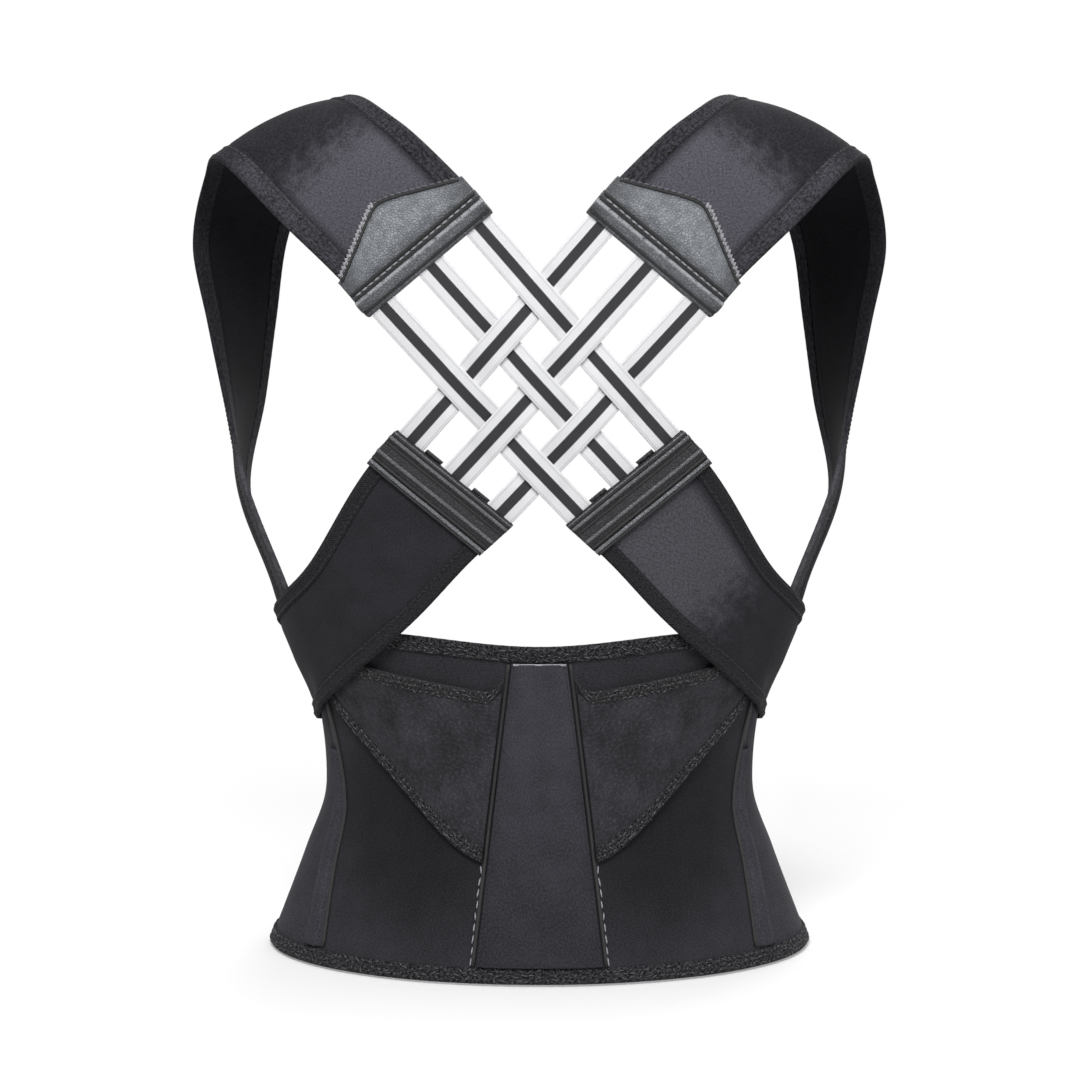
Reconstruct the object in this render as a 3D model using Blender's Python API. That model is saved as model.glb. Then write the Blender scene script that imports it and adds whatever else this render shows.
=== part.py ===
"""Back brace: a boned waist belt with front flaps, two shoulder straps and a woven elastic cross.

Metres, +Z up. The wearer's back faces -Y, and the belt's hem stands on Z = 0.
"""
from math import asin, cos, pi, radians, sin

import bmesh
import bpy
from mathutils import Vector

# Sheet thicknesses, and the gaps that keep neighbouring pieces apart
CLOTH = 0.0020
STRAP = 0.0026
TAPE = 0.0005
LEATHER = 0.0012
CASING = 0.0010
GAP = 0.0005
LAYER_GAP = 0.0006
LEAF_GAP = 0.0008
SEAM = 0.0004

# Belt outline: angles are measured round the body from the middle of the back
BACK_TOP = 0.182
BACK_SCOOP = 0.005
SCOOP_ANGLE = radians(36)
FRONT_DROP = 0.058
DROP_ANGLE = radians(80)
FRONT_HEM_RISE = 0.020
HEM_RISE_ANGLE = radians(100)
SEAM_HEM_ANGLE = radians(56)
SEAM_TOP_ANGLE = radians(78)
FLAP_ANGLE = radians(118)
TAPE_LEG = 0.009

# Wearer's body that the cloth follows: height, half width and half depth of each level
HEM_HALF_WIDTH = 0.1500
HEM_HALF_DEPTH = 0.0965
HIP_HEIGHT = 0.054
HIP_HALF_WIDTH = 0.1295
HIP_HALF_DEPTH = 0.0885
WAIST_HEIGHT = 0.090
WAIST_HALF_WIDTH = 0.1178
WAIST_HALF_DEPTH = 0.0835
RIB_BELOW_TOP = 0.032
RIB_HEIGHT = BACK_TOP - RIB_BELOW_TOP
RIB_HALF_WIDTH = 0.1242
RIB_HALF_DEPTH = 0.0865
ARMPIT_ABOVE_TOP = 0.014
ARMPIT_HEIGHT = BACK_TOP + ARMPIT_ABOVE_TOP
ARMPIT_HALF_WIDTH = 0.1405
ARMPIT_HALF_DEPTH = 0.0915
BLADE_ABOVE_ARMPIT = 0.130
BLADE_HEIGHT = ARMPIT_HEIGHT + BLADE_ABOVE_ARMPIT
BLADE_HALF_WIDTH = 0.174
BLADE_HALF_DEPTH = 0.104
NAPE_ABOVE_BLADE = 0.120
NAPE_HEIGHT = BLADE_HEIGHT + NAPE_ABOVE_BLADE
NAPE_HALF_WIDTH = 0.182
NAPE_SLOPE = 0.002
NAPE_HALF_DEPTH = BLADE_HALF_DEPTH - NAPE_SLOPE

# Spine sleeve with its two flat stays
SLEEVE_TOP_HALF = 0.0173
SLEEVE_HEM_HALF = 0.0365
STAY_WIDTH = 0.010
STAY_THICKNESS = 0.0010
STAY_SPREAD = 0.0185
STAY_INSET = 0.006

# Side bones and the tape casings that hold them on the side seams
BONE_WIDTH = 0.005
BONE_THICKNESS = 0.0009
CASING_WIDTH = 0.0105
CASING_REACH_SHARE = 0.62
CASING_EASE = 0.0010

# Lumbar wings that leave the spine sleeve and run up under the cross straps
WING_TIP_HEIGHT = 0.0645
WING_SIDE_BELOW_TOP = 0.0425
WING_SIDE_LOW = BACK_TOP - WING_SIDE_BELOW_TOP
WING_INNER_BELOW_TOP = 0.0260
WING_TOP_INNER = BACK_TOP - WING_INNER_BELOW_TOP
WING_OUTER_RISE = 0.0160
WING_TOP_OUTER = WING_TOP_INNER + WING_OUTER_RISE
WING_END_ANGLE = radians(61)
WING_SAG_SHARE = 0.55

# Front closure
FRONT_OVERLAP = 0.050
CLOSURE_TAPE = 0.0010
CLOSURE_INSET = 0.004
LIFT_LEAD_RATIO = 1.5

# Elastic cross: nose lines of the shoulder tabs and of the cross strap ends, seen from behind
CLIP_X = 0.0430
CLIP_ABOVE_TOP = 0.0905
CLIP_HEIGHT = BACK_TOP + CLIP_ABOVE_TOP
CLIP_TILT = radians(39.7)
CLIP_WIDTH = 0.0756
CLIP_PITCH = 0.0295
TAB_X = 0.0552
TAB_ABOVE_CLIP = 0.1100
TAB_HEIGHT = CLIP_HEIGHT + TAB_ABOVE_CLIP
TAB_TILT = radians(40.5)
TAB_WIDTH = 0.0815
TAB_PITCH = 0.032
CROSS_LAYER = 0.004
BAND_WIDTH = 0.0160
BAND_THICKNESS = 0.0012
WEAVE_GAP = 0.0006
WEAVE_SHARPNESS_RATIO = 1.6

# Leather strap ends
TAB_EDGE_LENGTH = 0.0225
TAB_PEAK_LENGTH = 0.0450
TAB_PEAK_SHARE = 0.12
TAB_ROLL_START = 0.0099
TAB_ROLL_END = 0.0030
CLIP_LENGTH = 0.0210
CLIP_GROOVES = (0.0196, 0.0082, 0.0026)
CLIP_RIDGES = (0.0144, 0.0044)
RIB_RISE = 0.0010
INNER_LEAF = 0.0150

# Cross straps: height of both edges where they pass the side of the body
CROSS_FLARE = 0.022
CROSS_NARROWING = 0.0025
CROSS_ABOVE_TOP = 0.0065
CROSS_SIDE_TOP = BACK_TOP + CROSS_ABOVE_TOP
CROSS_SIDE_DEPTH = 0.0600
CROSS_SIDE_LOW = CROSS_SIDE_TOP - CROSS_SIDE_DEPTH
CROSS_END_DROP = 0.0105
CROSS_END_TOP = CROSS_SIDE_TOP - CROSS_END_DROP
CROSS_END_SLOPE = 0.0065
CROSS_END_LOW = CROSS_SIDE_LOW - CROSS_END_SLOPE
CROSS_END_ANGLE = radians(104)
CROSS_TOP_SHARES = ((0.26, 0.58), (0.52, 0.85), (0.78, 1.0))
CROSS_LOW_SHARES = ((0.22, 0.45), (0.54, 0.83), (0.80, 1.0))
SINK_ANGLE = radians(64)
SINK_SPAN = radians(14)
SINK_EDGE_SHARE = 0.45
SINK_SPAN_SHARE = 0.40

# Shoulder straps: the fold above the armpit, the chest and the ridge of the shoulder
FOLD_CLEARANCE = 0.0175
FOLD_ANGLE = radians(82)
FOLD_WIDTH = 0.042
ANCHOR_LENGTH = 0.031
RIDGE_X = 0.1400
RIDGE_ABOVE_TAB = 0.0715
RIDGE_HEIGHT = TAB_HEIGHT + RIDGE_ABOVE_TAB
RIDGE_WIDTH = 0.0822
CHEST_X = 0.1724
CHEST_SETBACK = 0.0260
CHEST_DEPTH = BLADE_HALF_DEPTH - CHEST_SETBACK
CHEST_BELOW_RIDGE = 0.0630
CHEST_HEIGHT = RIDGE_HEIGHT - CHEST_BELOW_RIDGE
CHEST_WIDTH = 0.0740
ARMHOLE_X = 0.1718
ARMHOLE_SETBACK = 0.0080
ARMHOLE_DEPTH = CHEST_DEPTH - ARMHOLE_SETBACK
ARMHOLE_BELOW_CHEST = 0.0885
ARMHOLE_HEIGHT = CHEST_HEIGHT - ARMHOLE_BELOW_CHEST
ARMHOLE_WIDTH = 0.0660
BLADE_INSET = 0.0350
BLADE_SETBACK = 0.0590
BLADE_DROP = 0.0235
RIDGE_SETBACK = 0.0030
COLLAR_OUT = 0.0160
COLLAR_DEPTH = 0.0490
COLLAR_DROP = 0.0180
CHEST_BULGE = 0.0040
SIDE_BULGE = 0.0095
ARMHOLE_CUP = 0.0015
SIDE_CUP = 0.0036
RIDGE_CROWN = 0.0055
TURN_START = radians(9)
TURN_END = radians(75.5)
SIDE_TURN = radians(94)
LEANS = (radians(41), radians(25), radians(14), radians(3), 0.0, -radians(3), -radians(9))

HINGE_OFFSET = 0.001


def ease(share):
    """Smooth step from 0 to 1."""
    t = min(max(share, 0.0), 1.0)
    return t * t * (3.0 - 2.0 * t)


def blend(start, end, share):
    """Straight blend of two numbers or vectors."""
    return start + (end - start) * share


def evenly(count, start=0.0, end=1.0):
    """Evenly spaced places, both ends included."""
    return [blend(start, end, k / count) for k in range(count + 1)]


def smooth_through(places, values, place):
    """Read a smooth curve that passes through the values at the given places."""
    last = len(places) - 1
    k = max([i for i in range(last) if places[i] <= place], default=0)

    def slope(i):
        low, high = max(i - 1, 0), min(i + 1, last)
        return (values[high] - values[low]) / (places[high] - places[low])

    span = places[k + 1] - places[k]
    t = (place - places[k]) / span
    bend = (values[k + 1] - values[k]) * (t * t * (3.0 - 2.0 * t))
    lead = slope(k) * (span * t * (1.0 - t) * (1.0 - t))
    trail = slope(k + 1) * (span * t * t * (t - 1.0))
    return values[k] + bend + lead + trail


# Body surface

LEVELS = (0.0, HIP_HEIGHT, WAIST_HEIGHT, RIB_HEIGHT, ARMPIT_HEIGHT, BLADE_HEIGHT, NAPE_HEIGHT)
HALF_WIDTHS = (HEM_HALF_WIDTH, HIP_HALF_WIDTH, WAIST_HALF_WIDTH, RIB_HALF_WIDTH,
               ARMPIT_HALF_WIDTH, BLADE_HALF_WIDTH, NAPE_HALF_WIDTH)
HALF_DEPTHS = (HEM_HALF_DEPTH, HIP_HALF_DEPTH, WAIST_HALF_DEPTH, RIB_HALF_DEPTH,
               ARMPIT_HALF_DEPTH, BLADE_HALF_DEPTH, NAPE_HALF_DEPTH)


def body_point(angle, height, layer=0.0):
    """Point at an angle round the body from the middle of the back, a layer's height off it."""
    wide = smooth_through(LEVELS, HALF_WIDTHS, height)
    deep = smooth_through(LEVELS, HALF_DEPTHS, height)
    outward = Vector((deep * sin(angle), -wide * cos(angle), 0.0)).normalized()
    return Vector((wide * sin(angle), -deep * cos(angle), height)) + outward * layer


def angle_at(x, height):
    """Angle round the body of a point x beside the middle of the back."""
    wide = smooth_through(LEVELS, HALF_WIDTHS, height)
    return asin(max(-1.0, min(1.0, x / wide)))


def back_point(x, height, layer):
    """Point of the back half of the body, found by its distance beside the spine."""
    return body_point(angle_at(x, height), height, layer)


# Pieces

def finish(name, colour, roughness, metallic=0.0):
    """Principled material of one piece."""
    material = bpy.data.materials.new(name)
    material.use_nodes = True
    shader = material.node_tree.nodes["Principled BSDF"]
    shader.inputs["Base Color"].default_value = (*colour, 1.0)
    shader.inputs["Roughness"].default_value = roughness
    shader.inputs["Metallic"].default_value = metallic
    return material


FABRIC = ((0.038, 0.038, 0.043), 0.88)
KNIT = ((0.024, 0.024, 0.027), 0.92)
LEATHERETTE = ((0.033, 0.034, 0.039), 0.45)
ELASTIC = ((0.72, 0.72, 0.74), 0.80)
STEEL = ((0.58, 0.58, 0.60), 0.30, 1.0)
NYLON = ((0.70, 0.70, 0.68), 0.40)
HOOK = ((0.020, 0.020, 0.022), 0.60)
LOOP = ((0.030, 0.030, 0.033), 0.95)


def pivot_empty(name, place):
    """Empty on a joint's axis, which carries the pieces that turn about it."""
    empty = bpy.data.objects.new(name, None)
    empty.location = place
    bpy.context.scene.collection.objects.link(empty)
    return empty


def bent_sheet(name, rows, columns, shape, look, carrier):
    """One closed piece: a flat sheet is thickened, and shape(row, column, face) bends it.

    face is 0 on the side towards the body and 1 on the outer side.
    """
    sheet = bmesh.new()
    bmesh.ops.create_grid(sheet, x_segments=len(rows) - 1, y_segments=len(columns) - 1, size=0.5)
    raised = bmesh.ops.extrude_face_region(sheet, geom=list(sheet.faces))
    outer = {item for item in raised["geom"] if isinstance(item, bmesh.types.BMVert)}
    for vert in sheet.verts:
        row = rows[round((vert.co.x + 0.5) * (len(rows) - 1))]
        column = columns[round((vert.co.y + 0.5) * (len(columns) - 1))]
        vert.co = shape(row, column, float(vert in outer)) - carrier.location
    bmesh.ops.recalc_face_normals(sheet, faces=list(sheet.faces))
    if sheet.calc_volume(signed=True) < 0.0:
        bmesh.ops.reverse_faces(sheet, faces=list(sheet.faces))
    mesh = bpy.data.meshes.new(name)
    sheet.to_mesh(mesh)
    sheet.free()
    mesh.shade_smooth()
    mesh.set_sharp_from_angle(angle=radians(40))
    mesh.materials.append(finish(name, *look))
    piece = bpy.data.objects.new(name, mesh)
    piece.parent = carrier
    bpy.context.scene.collection.objects.link(piece)
    return piece


def folded_tape(name, rows, inside, outside, place, look, carrier):
    """Tape folded round an edge: place(row, across, layer) sets each corner of its profile.

    inside and outside hold the matching corners of the fold's two faces as (across, layer).
    """
    def shape(row, column, face):
        across, layer = (outside if face else inside)[round(column)]
        return place(row, across, layer)

    columns = [float(k) for k in range(len(inside))]
    return bent_sheet(name, rows, columns, shape, look, carrier)


def mirrored(point, side):
    """The point on the wearer's right as it is, or its mirror image on the left."""
    return Vector((point.x * side, point.y, point.z))


SIDES = (("left", -1.0), ("right", 1.0))


# Belt

BELT_ROWS = 9
ROW_MARGIN_SHARE = 0.02
ON_BELT = CLOTH + LAYER_GAP
BELT_MARGIN = TAPE + LAYER_GAP
BELT_FOLD_INSIDE = ((TAPE_LEG, ON_BELT), (TAPE, ON_BELT), (TAPE, -LAYER_GAP), (TAPE_LEG, -LAYER_GAP))
BELT_FOLD_OUTSIDE = ((TAPE_LEG, ON_BELT + TAPE), (0.0, ON_BELT + TAPE),
                     (0.0, -BELT_MARGIN), (TAPE_LEG, -BELT_MARGIN))


def turn(angle):
    """Angle from the middle of the back, whichever way round the body it is counted."""
    return min(abs(angle), 2.0 * pi - abs(angle))


def belt_top(angle):
    """Height of the belt's top edge: scooped at the spine, lower at the front."""
    scoop = BACK_SCOOP * ease(turn(angle) / SCOOP_ANGLE)
    drop = FRONT_DROP * ease((turn(angle) - DROP_ANGLE) / (pi - DROP_ANGLE))
    return BACK_TOP + scoop - drop


def belt_hem(angle):
    """Height of the belt's lower edge: flat at the back, raised at the front."""
    return FRONT_HEM_RISE * ease((turn(angle) - HEM_RISE_ANGLE) / (pi - HEM_RISE_ANGLE))


def belt_height(angle, share):
    """Height at a share of the way up the cloth between the two bound edges."""
    return blend(belt_hem(angle) + BELT_MARGIN, belt_top(angle) - BELT_MARGIN, share)


def cloth_rows(start, end):
    """Shares of the height at which pieces on the belt bend with it, between two shares."""
    bends = evenly(BELT_ROWS)
    low, high = start + ROW_MARGIN_SHARE, end - ROW_MARGIN_SHARE
    return [start, *(share for share in bends if low < share < high), end]


def side_seam(share):
    """Angle of the seam between the back panel and the side panel."""
    return blend(SEAM_HEM_ANGLE, SEAM_TOP_ANGLE, share)


def seam_angle_gap():
    """Half of the gap at a seam, as an angle round the waist."""
    return 0.5 * SEAM / WAIST_HALF_DEPTH


def belt_panel(name, side, start, end, rows, columns, lift, carrier):
    """Panel of the belt between two seams, whose angles depend on the share of the height."""
    def shape(row, column, face):
        angle = blend(start(column), end(column), row)
        layer = lift(angle) + CLOTH * face
        return mirrored(body_point(angle, belt_height(angle, column), layer), side)

    bent_sheet(name, evenly(rows), evenly(columns), shape, FABRIC, carrier)


def belt_binding(name, side, start, end, rows, edge, inward, lift, carrier):
    """Tape folded over the belt's top or lower edge between two angles."""
    def place(angle, across, layer):
        height = edge(angle) + inward * across
        return mirrored(body_point(angle, height, lift(angle) + layer), side)

    angles = evenly(rows, start, end)
    folded_tape(name, angles, BELT_FOLD_INSIDE, BELT_FOLD_OUTSIDE, place, KNIT, carrier)


def flat(_angle):
    """Layer of a piece that lies on the body itself."""
    return 0.0


def build_belt(carrier):
    """Back and side panels with the bound edges that run round them."""
    gap = seam_angle_gap()
    for label, side in SIDES:
        belt_panel(label + "_back_panel", side, lambda _: gap, lambda s: side_seam(s) - gap,
                   9, BELT_ROWS, flat, carrier)
        belt_panel(label + "_side_panel", side, lambda s: side_seam(s) + gap,
                   lambda _: FLAP_ANGLE - gap, 9, BELT_ROWS, flat, carrier)
    reach = FLAP_ANGLE - gap
    belt_binding("back_top_binding", 1.0, -reach, reach, 34, belt_top, -1.0, flat, carrier)
    belt_binding("back_hem_binding", 1.0, -reach, reach, 36, belt_hem, 1.0, flat, carrier)


# Spine sleeve, side bones and wings

SLEEVE_LOW = TAPE_LEG + LAYER_GAP
SLEEVE_HIGH = BACK_TOP - TAPE_LEG - LAYER_GAP


def sleeve_half(height):
    """Half width of the spine sleeve, which tapers from the hem to the top."""
    share = (height - SLEEVE_LOW) / (SLEEVE_HIGH - SLEEVE_LOW)
    return blend(SLEEVE_HEM_HALF, SLEEVE_TOP_HALF, share)


def spine_heights(inset):
    """Heights along the spine at which the sleeve and its stays bend with the panels."""
    start, end = ((edge - BELT_MARGIN) / (BACK_TOP - 2.0 * BELT_MARGIN)
                  for edge in (SLEEVE_LOW + inset, SLEEVE_HIGH - inset))
    return [belt_height(0.0, share) for share in cloth_rows(start, end)]


def build_spine(carrier):
    """Tapered sleeve sewn down the spine over two flat steel stays."""
    cover = ON_BELT + STAY_THICKNESS + LAYER_GAP
    pocket = 0.5 * (STAY_SPREAD + STAY_WIDTH)

    def sleeve(height, column, face):
        half = sleeve_half(height)
        shoulder = 0.5 * (half + pocket)
        steps = (-half, -shoulder, -pocket, 0.0, pocket, shoulder, half)
        rise = 0.0 < column < len(steps) - 1
        layer = blend(ON_BELT, cover, rise) + CASING * face
        return back_point(steps[round(column)], height, layer)

    bent_sheet("spine_sleeve", spine_heights(0.0), evenly(6, 0.0, 6.0), sleeve, FABRIC, carrier)
    for label, side in SIDES:
        def stay(height, column, face):
            x = 0.5 * STAY_SPREAD + STAY_WIDTH * (column - 0.5)
            return mirrored(back_point(x, height, ON_BELT + STAY_THICKNESS * face), side)

        bent_sheet(label + "_spine_stay", spine_heights(STAY_INSET), evenly(1), stay, STEEL, carrier)


def build_side_bones(carrier):
    """Flat bones on the side seams, each under a stitched tape casing."""
    start = (TAPE_LEG + LAYER_GAP) / BACK_TOP
    for label, side in SIDES:
        def along_seam(share, offset, layer):
            angle = side_seam(share)
            angle += offset / WAIST_HALF_DEPTH
            return mirrored(body_point(angle, belt_height(angle, share), layer), side)

        def bone(row, column, face):
            offset = BONE_WIDTH * (column - 0.5)
            return along_seam(row, offset, ON_BELT + BONE_THICKNESS * face)

        def casing(row, column, face):
            offset = CASING_WIDTH * (column - 0.5)
            raised = abs(offset) < 0.5 * CASING_WIDTH - GAP
            layer = ON_BELT + raised * (BONE_THICKNESS + LAYER_GAP) + CASING * face
            return along_seam(row, offset, layer)

        inset = STAY_INSET / BACK_TOP
        bent_sheet(label + "_side_bone", cloth_rows(start + inset, CASING_REACH_SHARE - inset),
                   evenly(1), bone, NYLON, carrier)
        border = 0.5 * (1.0 - (BONE_WIDTH + 2.0 * CASING_EASE) / CASING_WIDTH)
        bent_sheet(label + "_bone_casing", cloth_rows(start, CASING_REACH_SHARE),
                   (0.0, border, 1.0 - border, 1.0), casing, KNIT, carrier)


def bound_layers(across, leg):
    """Inner and outer layer of a strap: pressed thin where the edge tape covers it."""
    thin = across < leg + GAP
    return (TAPE + GAP, STRAP - TAPE - GAP) if thin else (0.0, STRAP)


STRAP_FOLD_INSIDE = ((TAPE_LEG, STRAP - TAPE), (TAPE, STRAP - TAPE), (TAPE, TAPE), (TAPE_LEG, TAPE))
STRAP_FOLD_OUTSIDE = ((TAPE_LEG, STRAP), (0.0, STRAP), (0.0, 0.0), (TAPE_LEG, 0.0))
BOUND_STEPS = (TAPE + GAP, TAPE_LEG + 0.5 * GAP, TAPE_LEG + 2.0 * GAP)
FREE_SHARES = (0.3, 0.5, 0.7)
WING_FREE_ROWS = 3


def build_wings(carrier):
    """Lumbar wings with a bound lower edge, sewn beside the spine sleeve."""
    for label, side in SIDES:
        def span_angle(row, height):
            inner = angle_at(sleeve_half(height) + SEAM, height)
            return blend(inner, WING_END_ANGLE, row)

        def low_edge(row):
            dip = WING_SAG_SHARE * row * (1.0 - row) ** 3
            return blend(WING_TIP_HEIGHT, WING_SIDE_LOW, row - dip)

        def high_edge(row):
            return blend(WING_TOP_INNER, WING_TOP_OUTER, row)

        def place(row, across, layer):
            height = low_edge(row) + across
            return mirrored(body_point(span_angle(row, height), height, ON_BELT + layer), side)

        def wing(row, column, face):
            bound = column < len(BOUND_STEPS)
            rest = low_edge(row) + BOUND_STEPS[-1]
            share = (column - len(BOUND_STEPS) + 1) / WING_FREE_ROWS
            across = BOUND_STEPS[round(column)] if bound else blend(rest, high_edge(row), share)
            across -= 0.0 if bound else low_edge(row)
            return place(row, across, bound_layers(across, TAPE_LEG)[round(face)])

        columns = [float(k) for k in range(len(BOUND_STEPS) + WING_FREE_ROWS)]
        bent_sheet(label + "_lumbar_wing", evenly(9), columns, wing, FABRIC, carrier)
        folded_tape(label + "_wing_binding", evenly(9), STRAP_FOLD_INSIDE, STRAP_FOLD_OUTSIDE,
                    place, KNIT, carrier)


# Front flaps

CLOSURE_LIFT = ON_BELT + 2.0 * (CLOSURE_TAPE + LAYER_GAP)


def overlap_angle():
    """Half of the front overlap, as an angle round the waist."""
    return asin(0.5 * FRONT_OVERLAP / WAIST_HALF_WIDTH)


def flap_lift(angle):
    """Layer of the outer flap, which rises over the inner one before they overlap."""
    start = FLAP_ANGLE + overlap_angle()
    end = pi - LIFT_LEAD_RATIO * overlap_angle()
    return CLOSURE_LIFT * ease((angle - start) / (end - start))


def closure_patch(name, side, lift, look, carrier):
    """Hook or loop tape over the overlap, between the bound edges of the flap."""
    reach = overlap_angle() - CLOSURE_INSET / WAIST_HALF_WIDTH

    def shape(row, column, face):
        angle = blend(pi - reach, pi + reach, row)
        low = belt_hem(angle) + TAPE_LEG + CLOSURE_INSET
        high = belt_top(angle) - TAPE_LEG - CLOSURE_INSET
        layer = lift + CLOSURE_TAPE * face
        return mirrored(body_point(angle, blend(low, high, column), layer), side)

    bent_sheet(name, evenly(4), evenly(5), shape, look, carrier)


def build_flaps(carriers):
    """Two front flaps that close over each other with hook and loop tape."""
    start, end = FLAP_ANGLE + seam_angle_gap(), pi + overlap_angle()
    for label, side in SIDES:
        carrier = carriers[label]
        lift = flap_lift if side > 0.0 else flat
        belt_panel(label + "_front_flap", side, lambda _: start, lambda _: end, 9, 6, lift, carrier)
        belt_binding(label + "_flap_top_binding", side, start, end, 9, belt_top, -1.0, lift, carrier)
        belt_binding(label + "_flap_hem_binding", side, start, end, 9, belt_hem, 1.0, lift, carrier)
    closure_patch("loop_patch", -1.0, ON_BELT, LOOP, carriers["left"])
    closure_patch("hook_patch", 1.0, CLOSURE_LIFT - LAYER_GAP - CLOSURE_TAPE, HOOK, carriers["right"])


# Straps: place(distance from the nose, across, layer) is the form of one strap

STRAP_START = LEATHER + LAYER_GAP


def strap_pieces(label, place, width, stations, carrier):
    """Strap with a folded tape on each edge; width(distance) is its width there."""

    def core(distance, column, face):
        wide = width(distance)
        free = [wide * share for share in FREE_SHARES]
        steps = (*BOUND_STEPS, *free, *(wide - step for step in reversed(BOUND_STEPS)))
        across = steps[round(column)]
        layer = bound_layers(min(across, wide - across), TAPE_LEG)[round(face)]
        return place(distance, across / wide, layer)

    columns = [float(k) for k in range(2 * len(BOUND_STEPS) + len(FREE_SHARES))]
    bent_sheet(label, stations, columns, core, FABRIC, carrier)
    for edge, far in (("_outer_binding", False), ("_inner_binding", True)):
        def bound(distance, across, layer):
            share = across / width(distance)
            return place(distance, 1.0 - share if far else share, layer)

        folded_tape(label + edge, stations, STRAP_FOLD_INSIDE, STRAP_FOLD_OUTSIDE, bound, KNIT, carrier)


def strap_end(name, place, leaf, leaf_rows, ridges, columns, carrier):
    """Leather folded round a strap's end: leaf(share) is the outer leaf's length there.

    ridges holds (distance from the nose, height) pairs of the rolls along the outer leaf.
    """
    outer_rows = leaf_rows + len(ridges)

    def shape(row, column, face):
        k = round(row)
        if k < leaf_rows:
            distance = blend(leaf(column), ridges[0][0], k / leaf_rows)
            return place(distance, column, STRAP + LEAF_GAP + LEATHER * face)
        if k < outer_rows:
            distance, rise = ridges[k - leaf_rows]
            distance = distance if face else max(distance, LEATHER)
            return place(distance, column, STRAP + LEAF_GAP + (LEATHER + rise) * face)
        distance = (LEATHER * (1.0 - face), INNER_LEAF)[k - outer_rows]
        return place(distance, column, -LEAF_GAP - LEATHER * face)

    rows = [float(k) for k in range(outer_rows + 2)]
    bent_sheet(name, rows, columns, shape, LEATHERETTE, carrier)


# Cross straps, which lie on the body from the elastic to the side of the belt

ANCHOR_LAYER = ON_BELT + TAPE + LAYER_GAP
CROSS_TOP_LAYER = ANCHOR_LAYER + STRAP + LAYER_GAP
CROSS_LOW_LAYER = ON_BELT + 0.5 * LAYER_GAP


def clip_corner(sign, distance=0.0, narrowing=0.0):
    """End of a cross strap's nose line, or a corner farther down the narrowing strap."""
    along = Vector((cos(CLIP_TILT), sin(CLIP_TILT)))
    down = Vector((sin(CLIP_TILT), -cos(CLIP_TILT)))
    half = sign * (0.5 * CLIP_WIDTH - narrowing)
    spot = Vector((CLIP_X, CLIP_HEIGHT)) + along * half + down * distance
    return Vector((angle_at(spot.x, spot.y), spot.y))


def cross_edges():
    """Angle and height of both edges of a cross strap, from its nose to its sewn end."""
    upper = [clip_corner(1.0), clip_corner(1.0, CROSS_FLARE)]
    lower = [clip_corner(-1.0), clip_corner(-1.0, CROSS_FLARE, CROSS_NARROWING)]
    for edge, side, end, bends in (
        (upper, CROSS_SIDE_TOP, CROSS_END_TOP, CROSS_TOP_SHARES),
        (lower, CROSS_SIDE_LOW, CROSS_END_LOW, CROSS_LOW_SHARES),
    ):
        start = edge[-1]
        for round_share, down_share in bends:
            angle = blend(start.x, CROSS_END_ANGLE, round_share)
            edge.append(Vector((angle, blend(start.y, side, down_share))))
        edge.append(Vector((CROSS_END_ANGLE, end)))
    return upper, lower


def cross_strap_form():
    """Form, width and length of a cross strap."""
    upper, lower = cross_edges()
    middles = [body_point(*((a + b) * 0.5), CROSS_TOP_LAYER) for a, b in zip(upper, lower)]
    places = [0.0]
    for a, b in zip(middles, middles[1:]):
        places.append(places[-1] + (b - a).length)

    def spot(distance, share):
        top = smooth_through(places, upper, distance)
        low = smooth_through(places, lower, distance)
        return blend(top, low, share)

    def place(distance, share, layer):
        angle, height = spot(distance, share)
        over_belt = ease(distance / places[2])
        high = blend(CROSS_LAYER - 0.5 * STRAP, CROSS_TOP_LAYER, over_belt)
        sink = ease((angle - SINK_ANGLE) / SINK_SPAN) * ease((share - SINK_EDGE_SHARE) / SINK_SPAN_SHARE)
        return body_point(angle, height, blend(high, CROSS_LOW_LAYER, sink) + layer)

    def width(distance):
        return (place(distance, 1.0, 0.0) - place(distance, 0.0, 0.0)).length

    return place, width, places[-1]


def clip_ridges():
    """Ribs of a cross strap's leather end, each rising and falling between two stitched grooves."""
    grooves = [(distance, 0.0) for distance in (*CLIP_GROOVES, 0.0)]
    crests = [(distance, RIB_RISE) for distance in CLIP_RIDGES]
    return sorted(grooves + crests, reverse=True)


def build_cross_straps(carrier):
    """Straps from the belt's sides to the elastic, with ribbed leather ends."""
    place, width, length = cross_strap_form()
    for label, side in SIDES:
        def placed(distance, share, layer):
            return mirrored(place(distance, share, layer), side)

        name = label + "_cross_strap"
        strap_pieces(name, placed, width, evenly(13, STRAP_START, length), carrier)
        strap_end(name + "_end", placed, lambda _: CLIP_LENGTH, 1, clip_ridges(), evenly(5), carrier)


# Elastic cross

def nose_line(x, height, tilt, inward):
    """Middle of a nose line, its direction and the direction in which the elastic leaves it."""
    along = Vector((-cos(tilt), sin(tilt)))
    leave = Vector((-sin(tilt), -cos(tilt))) if inward else Vector((sin(tilt), cos(tilt)))
    return Vector((x, height)), along, leave


def band_ends(index):
    """Centres of both ends of a band that runs from the right tab to the left cross strap."""
    tab, tab_along, tab_leave = nose_line(TAB_X, TAB_HEIGHT, TAB_TILT, True)
    clip, clip_along, clip_leave = nose_line(-CLIP_X, CLIP_HEIGHT, CLIP_TILT, False)
    top = tab + tab_along * (index * TAB_PITCH) + tab_leave * GAP
    low = clip + clip_along * (index * CLIP_PITCH) + clip_leave * GAP
    return top, low, tab_along, clip_along


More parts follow.
